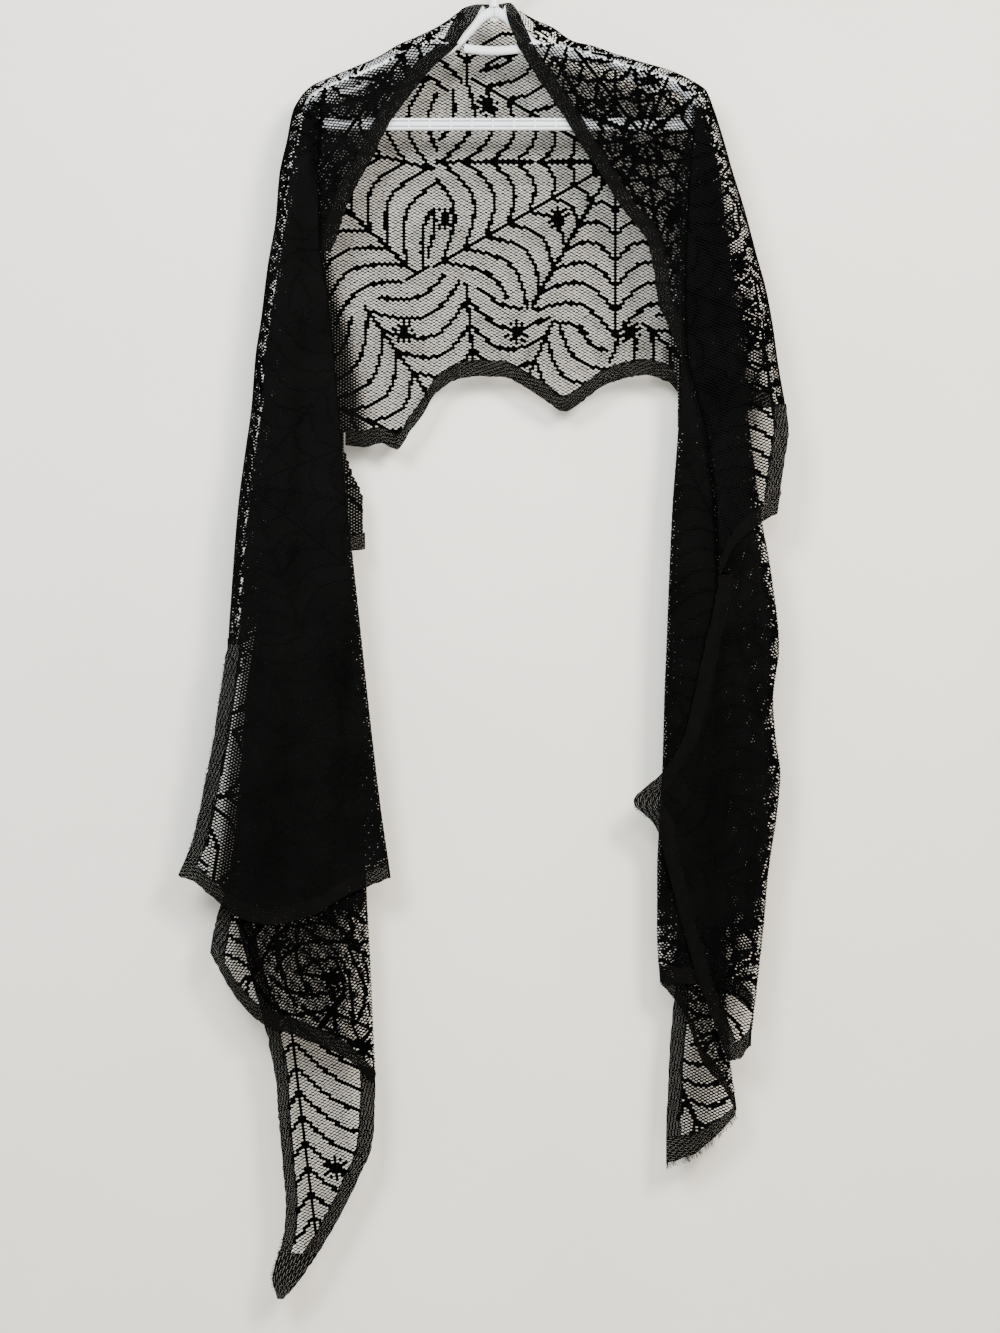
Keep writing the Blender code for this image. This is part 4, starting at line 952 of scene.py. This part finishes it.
side_band("right_inner_top_band", "fifth", r_top, moved(r_top, TOP_BAND), RIGHT_TAIL_TOP,
          lambda s: float(curve(RIGHT_TAIL_BAND)(0.2 * s)) + 0.6, 90)
tail_hem, tail_band = curve(RIGHT_TAIL_HEM), curve(RIGHT_TAIL_BAND)
rows = [[(float(r_top(1240) + (right_fold["fourth"](1240) - r_top(1240)) * t),
          float(tail_band(t) + (tail_hem(t) - tail_band(t)) * s)) for t in spaced(24)] for s in spaced(6)]
band("right_tail_hem", flat_layer("fifth"), rows, "u",
     frayed(lambda t: (r_top(1240) + (right_fold["fourth"](1240) - r_top(1240)) * t, tail_hem(t)), (0.28, 0.96),
            (1.5, 6.5), 190))

# %% Neck band
edges = [curve([(k, row[c]) for k, row in enumerate(NECK_BAND)]) for c in range(6)]
places = np.linspace(0, len(NECK_BAND) - 1, 61)
low_edge = np.column_stack([edges[c](places) for c in range(3)])
high_edge = np.column_stack([edges[c](places) for c in range(3, 6)])


def neck(x, drop):
    """Here x is the way across the band and drop the way along it."""
    k = np.clip(drop, 0, 1) * (len(places) - 1)
    parts = []
    for c in range(3):
        a, b = np.interp(k, range(len(places)), low_edge[:, c]), np.interp(k, range(len(places)), high_edge[:, c])
        parts.append(a + (b - a) * x)
    return parts[0], parts[1], parts[2], 0, 0


piece = band("neck_top_band", neck, [[(s, t) for s in spaced(4)] for t in spaced(60)], uneven=0.0)

# %% [markdown]
# ## The hanger
#
# Round tubes swept along the part's routes, and a lower bar with two fine
# grooves along its front and back.

# %% Hanger
def dense(points, steps=6):
    run = []
    ends = [points[0]] + list(points) + [points[-1]]
    for a, b, c, d in zip(ends, ends[1:], ends[2:], ends[3:]):
        for k in range(steps):
            t = k / steps
            run.append(tuple(0.5 * (2 * b[i] + (c[i] - a[i]) * t + (2 * a[i] - 5 * b[i] + 4 * c[i] - d[i]) * t * t
                                    + (3 * b[i] - a[i] - 3 * c[i] + d[i]) * t ** 3) for i in range(2)))
    run.append(points[-1])
    return np.array(run, float)


def sweep(name, sections, *nodes):
    """A closed skin through equal rings of points."""
    rings = np.array(sections, float)
    m, n = rings.shape[:2]
    index = np.arange(m * n).reshape(m, n)
    after = np.roll(index, -1, axis=1)
    quads = np.stack([index[:-1], after[:-1], after[1:], index[1:]], -1).reshape(-1, 4)
    faces = np.concatenate([np.full(len(quads), 4), [n, n]])
    loops = np.concatenate([quads.ravel(), index[0][::-1], index[-1]])
    points = rings.reshape(-1, 3)
    run = np.concatenate([[0], np.cumsum(np.linalg.norm(np.diff(rings.mean(1), axis=0), axis=1))])
    flat = np.column_stack([np.tile(np.arange(n) * 2.0, m), np.repeat(run, n)])
    size = flat.max() + 2
    obj = new_mesh(name, points, faces, loops, flat, (flat + 1) / size, PLASTIC)
    obj.data.uv_layers.remove(obj.data.uv_layers["OFBake"])
    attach(obj, "root")
    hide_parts(*nodes)
    return obj


def tube(node, points, radius, thin_until=None, sides=20, also=()):
    path = dense(points)
    keep = np.concatenate([[True], np.hypot(*np.diff(path, axis=0).T) > 1e-6])
    path = path[keep]
    way = np.gradient(path, axis=0)
    way /= np.hypot(way[:, 0], way[:, 1])[:, None]
    angles = np.arange(sides) * 2 * math.pi / sides
    sections = []
    for k, ((x, drop), (wx, wd)) in enumerate(zip(path, way)):
        r = radius * (CROWN_SHARE if thin_until and drop < thin_until else 1.0)
        sections.append([(x - wd * r * math.cos(a), r * math.sin(a), -(drop + wx * r * math.cos(a))) for a in angles])
    return sweep(node + "_moulding", sections, node, *also)


reach = HOOK_INNER_RADIUS + HOOK_TUBE_RADIUS
hook = [(STEM_X, CROWN_DROP - TUBE_RADIUS * CROWN_SHARE - JOINT_GAP), (STEM_X, 56), (-2, 47), (8, 39), (18, 29)]
hook += [(reach * math.cos(math.pi * k / 8), HOOK_INNER_RADIUS - reach * math.sin(math.pi * k / 8)) for k in range(9)]
hook.append((-19, 27))
tube("hanger_hook", hook, HOOK_TUBE_RADIUS)
tube("hanger_left_arm", LEFT_ARM, TUBE_RADIUS, LEFT_CROWN_END, also=["hanger_left_end"])
tube("hanger_right_arm", RIGHT_ARM, TUBE_RADIUS, RIGHT_CROWN_END, also=["hanger_right_end"])
tube("hanger_brace", BRACE, BRACE_RADIUS)
tube("hanger_left_strap_hook", LEFT_STRAP_HOOK, STRAP_RADIUS, sides=14)
tube("hanger_right_strap_hook", RIGHT_STRAP_HOOK, STRAP_RADIUS, sides=14)


GROOVE_DEPTH, GROOVE_RUN, GROOVE_STEP = 3.5, 19.8, 21.8


def bar_section(deep):
    """The bar's outline as y, z offsets, with its grooves cut this deep."""
    h, d, r = BAR_HEIGHT / 2, BAR_DEPTH / 2, 2.0
    side = [(-d + r - r * math.cos(a), h - r + r * math.sin(a)) for a in np.linspace(math.pi / 2, 0, 6)]
    for z in (2.8, -2.8):
        side += [(-d, z + 0.85), (-d + deep, z + 0.8), (-d + deep, z - 0.8), (-d, z - 0.85)]
    side += [(-d + r - r * math.cos(a), -h + r - r * math.sin(a)) for a in np.linspace(0, math.pi / 2, 6)]
    return side + [(-y, -z) for y, z in side]


left_side, right_side = BAR_LEFT + JOINT_GAP, BAR_RIGHT - JOINT_GAP
stations = [(left_side, 0)]
for x in np.arange(left_side + 6, right_side - GROOVE_RUN, GROOVE_STEP):
    stations += [(x, 0), (x + 0.05, GROOVE_DEPTH), (x + GROOVE_RUN, GROOVE_DEPTH), (x + GROOVE_RUN + 0.05, 0)]
stations.append((right_side, 0))
bar = sweep("hanger_bar_moulding", [[(x, y, z - BAR_DROP) for y, z in bar_section(deep)] for x, deep in stations],
            "hanger_bar")
bar.data.shade_flat()
print("hanger made")

# %% [markdown]
# ## The stage, the light and the camera
#
# The garment hangs close before a pale wall.  The wall is clear from behind,
# so the back can be looked at too.

# %% Stage
def wall_material():
    mat, tree, shader = base("matt_wall_paint")
    place = add(tree, "ShaderNodeTexCoord")
    cloud = add(tree, "ShaderNodeTexNoise", Vector=(place, "Object"), Scale=3.0, Detail=4.0)
    ramp = add(tree, "ShaderNodeValToRGB", Fac=(cloud, "Fac"))
    ramp.color_ramp.elements[0].color, ramp.color_ramp.elements[1].color = linear("DAD6CD"), linear("E8E5DE")
    feed(tree, ramp, "Color", shader, "Base Color")
    shader.inputs["Roughness"].default_value = 0.85
    clear = add(tree, "ShaderNodeBsdfTransparent")
    side = add(tree, "ShaderNodeNewGeometry")
    mix = add(tree, "ShaderNodeMixShader", Fac=(side, "Backfacing"), _1=(shader, "BSDF"), _2=(clear, "BSDF"))
    tree.links.new(mix.outputs[0], tree.nodes["Material Output"].inputs["Surface"])
    return mat


def plane(name, corners_, material):
    mesh = bpy.data.meshes.new(name)
    mesh.from_pydata(corners_, [], [(0, 1, 2, 3)])
    mesh.update()
    obj = bpy.data.objects.new(name, mesh)
    bpy.context.scene.collection.objects.link(obj)
    mesh.materials.append(material)
    return obj


paint = wall_material()
WALL_Y, FLOOR_Z = 0.045, -1.75
plane("wall", [(-3, WALL_Y, FLOOR_Z), (3, WALL_Y, FLOOR_Z), (3, WALL_Y, 1.6), (-3, WALL_Y, 1.6)], paint)
plane("floor", [(-3, -4, FLOOR_Z), (3, -4, FLOOR_Z), (3, 4, FLOOR_Z), (-3, 4, FLOOR_Z)], paint)

# %% Lights
def area_light(name, place, aim, size, power, colour):
    data = bpy.data.lights.new(name, "AREA")
    data.shape, data.size, data.size_y = "RECTANGLE", size[0], size[1]
    data.energy, data.color = power, colour
    obj = bpy.data.objects.new(name, data)
    bpy.context.scene.collection.objects.link(obj)
    obj.location = place
    way = np.array(aim, float) - np.array(place, float)
    from mathutils import Vector
    obj.rotation_euler = Vector(way).to_track_quat("-Z", "Y").to_euler()
    return obj


area_light("key", (1.1, -2.0, 0.5), (0.1, 0, -0.4), (0.6, 0.7), 94, (1.0, 0.935, 0.86))
area_light("fill", (-0.8, -2.0, 0.45), (0.05, 0, -0.4), (0.7, 0.8), 78, (0.88, 0.95, 1.0))
area_light("back_fill", (0.3, 2.6, 0.4), (0, 0, -0.7), (2.4, 2.4), 30, (1.0, 1.0, 1.0))
area_light("lamp", (0.15, -1.3, -0.3), (0.05, 0, -0.5), (0.4, 0.4), 9, (1.0, 0.99, 0.95))
world = bpy.data.worlds.new("room")
bpy.context.scene.world = world
world.use_nodes = True
world.node_tree.nodes["Background"].inputs["Color"].default_value = linear("E9E8E6")
world.node_tree.nodes["Background"].inputs["Strength"].default_value = 0.7

# %% Camera
PIXEL = 1.037          # millimetres a pixel of the frame, at the cloth
DISTANCE = 2.9
camera = bpy.data.cameras.new("camera")
camera.sensor_width = 36.0
camera.lens = 36.0 * DISTANCE / (1333 * PIXEL * MM)
view = bpy.data.objects.new("camera", camera)
bpy.context.scene.collection.objects.link(view)
view.location = ((500 - 499) * PIXEL * MM, -DISTANCE, -(56 + 666.5 * PIXEL) * MM)
view.rotation_euler = (math.pi / 2, 0, 0)
bpy.context.scene.camera = view
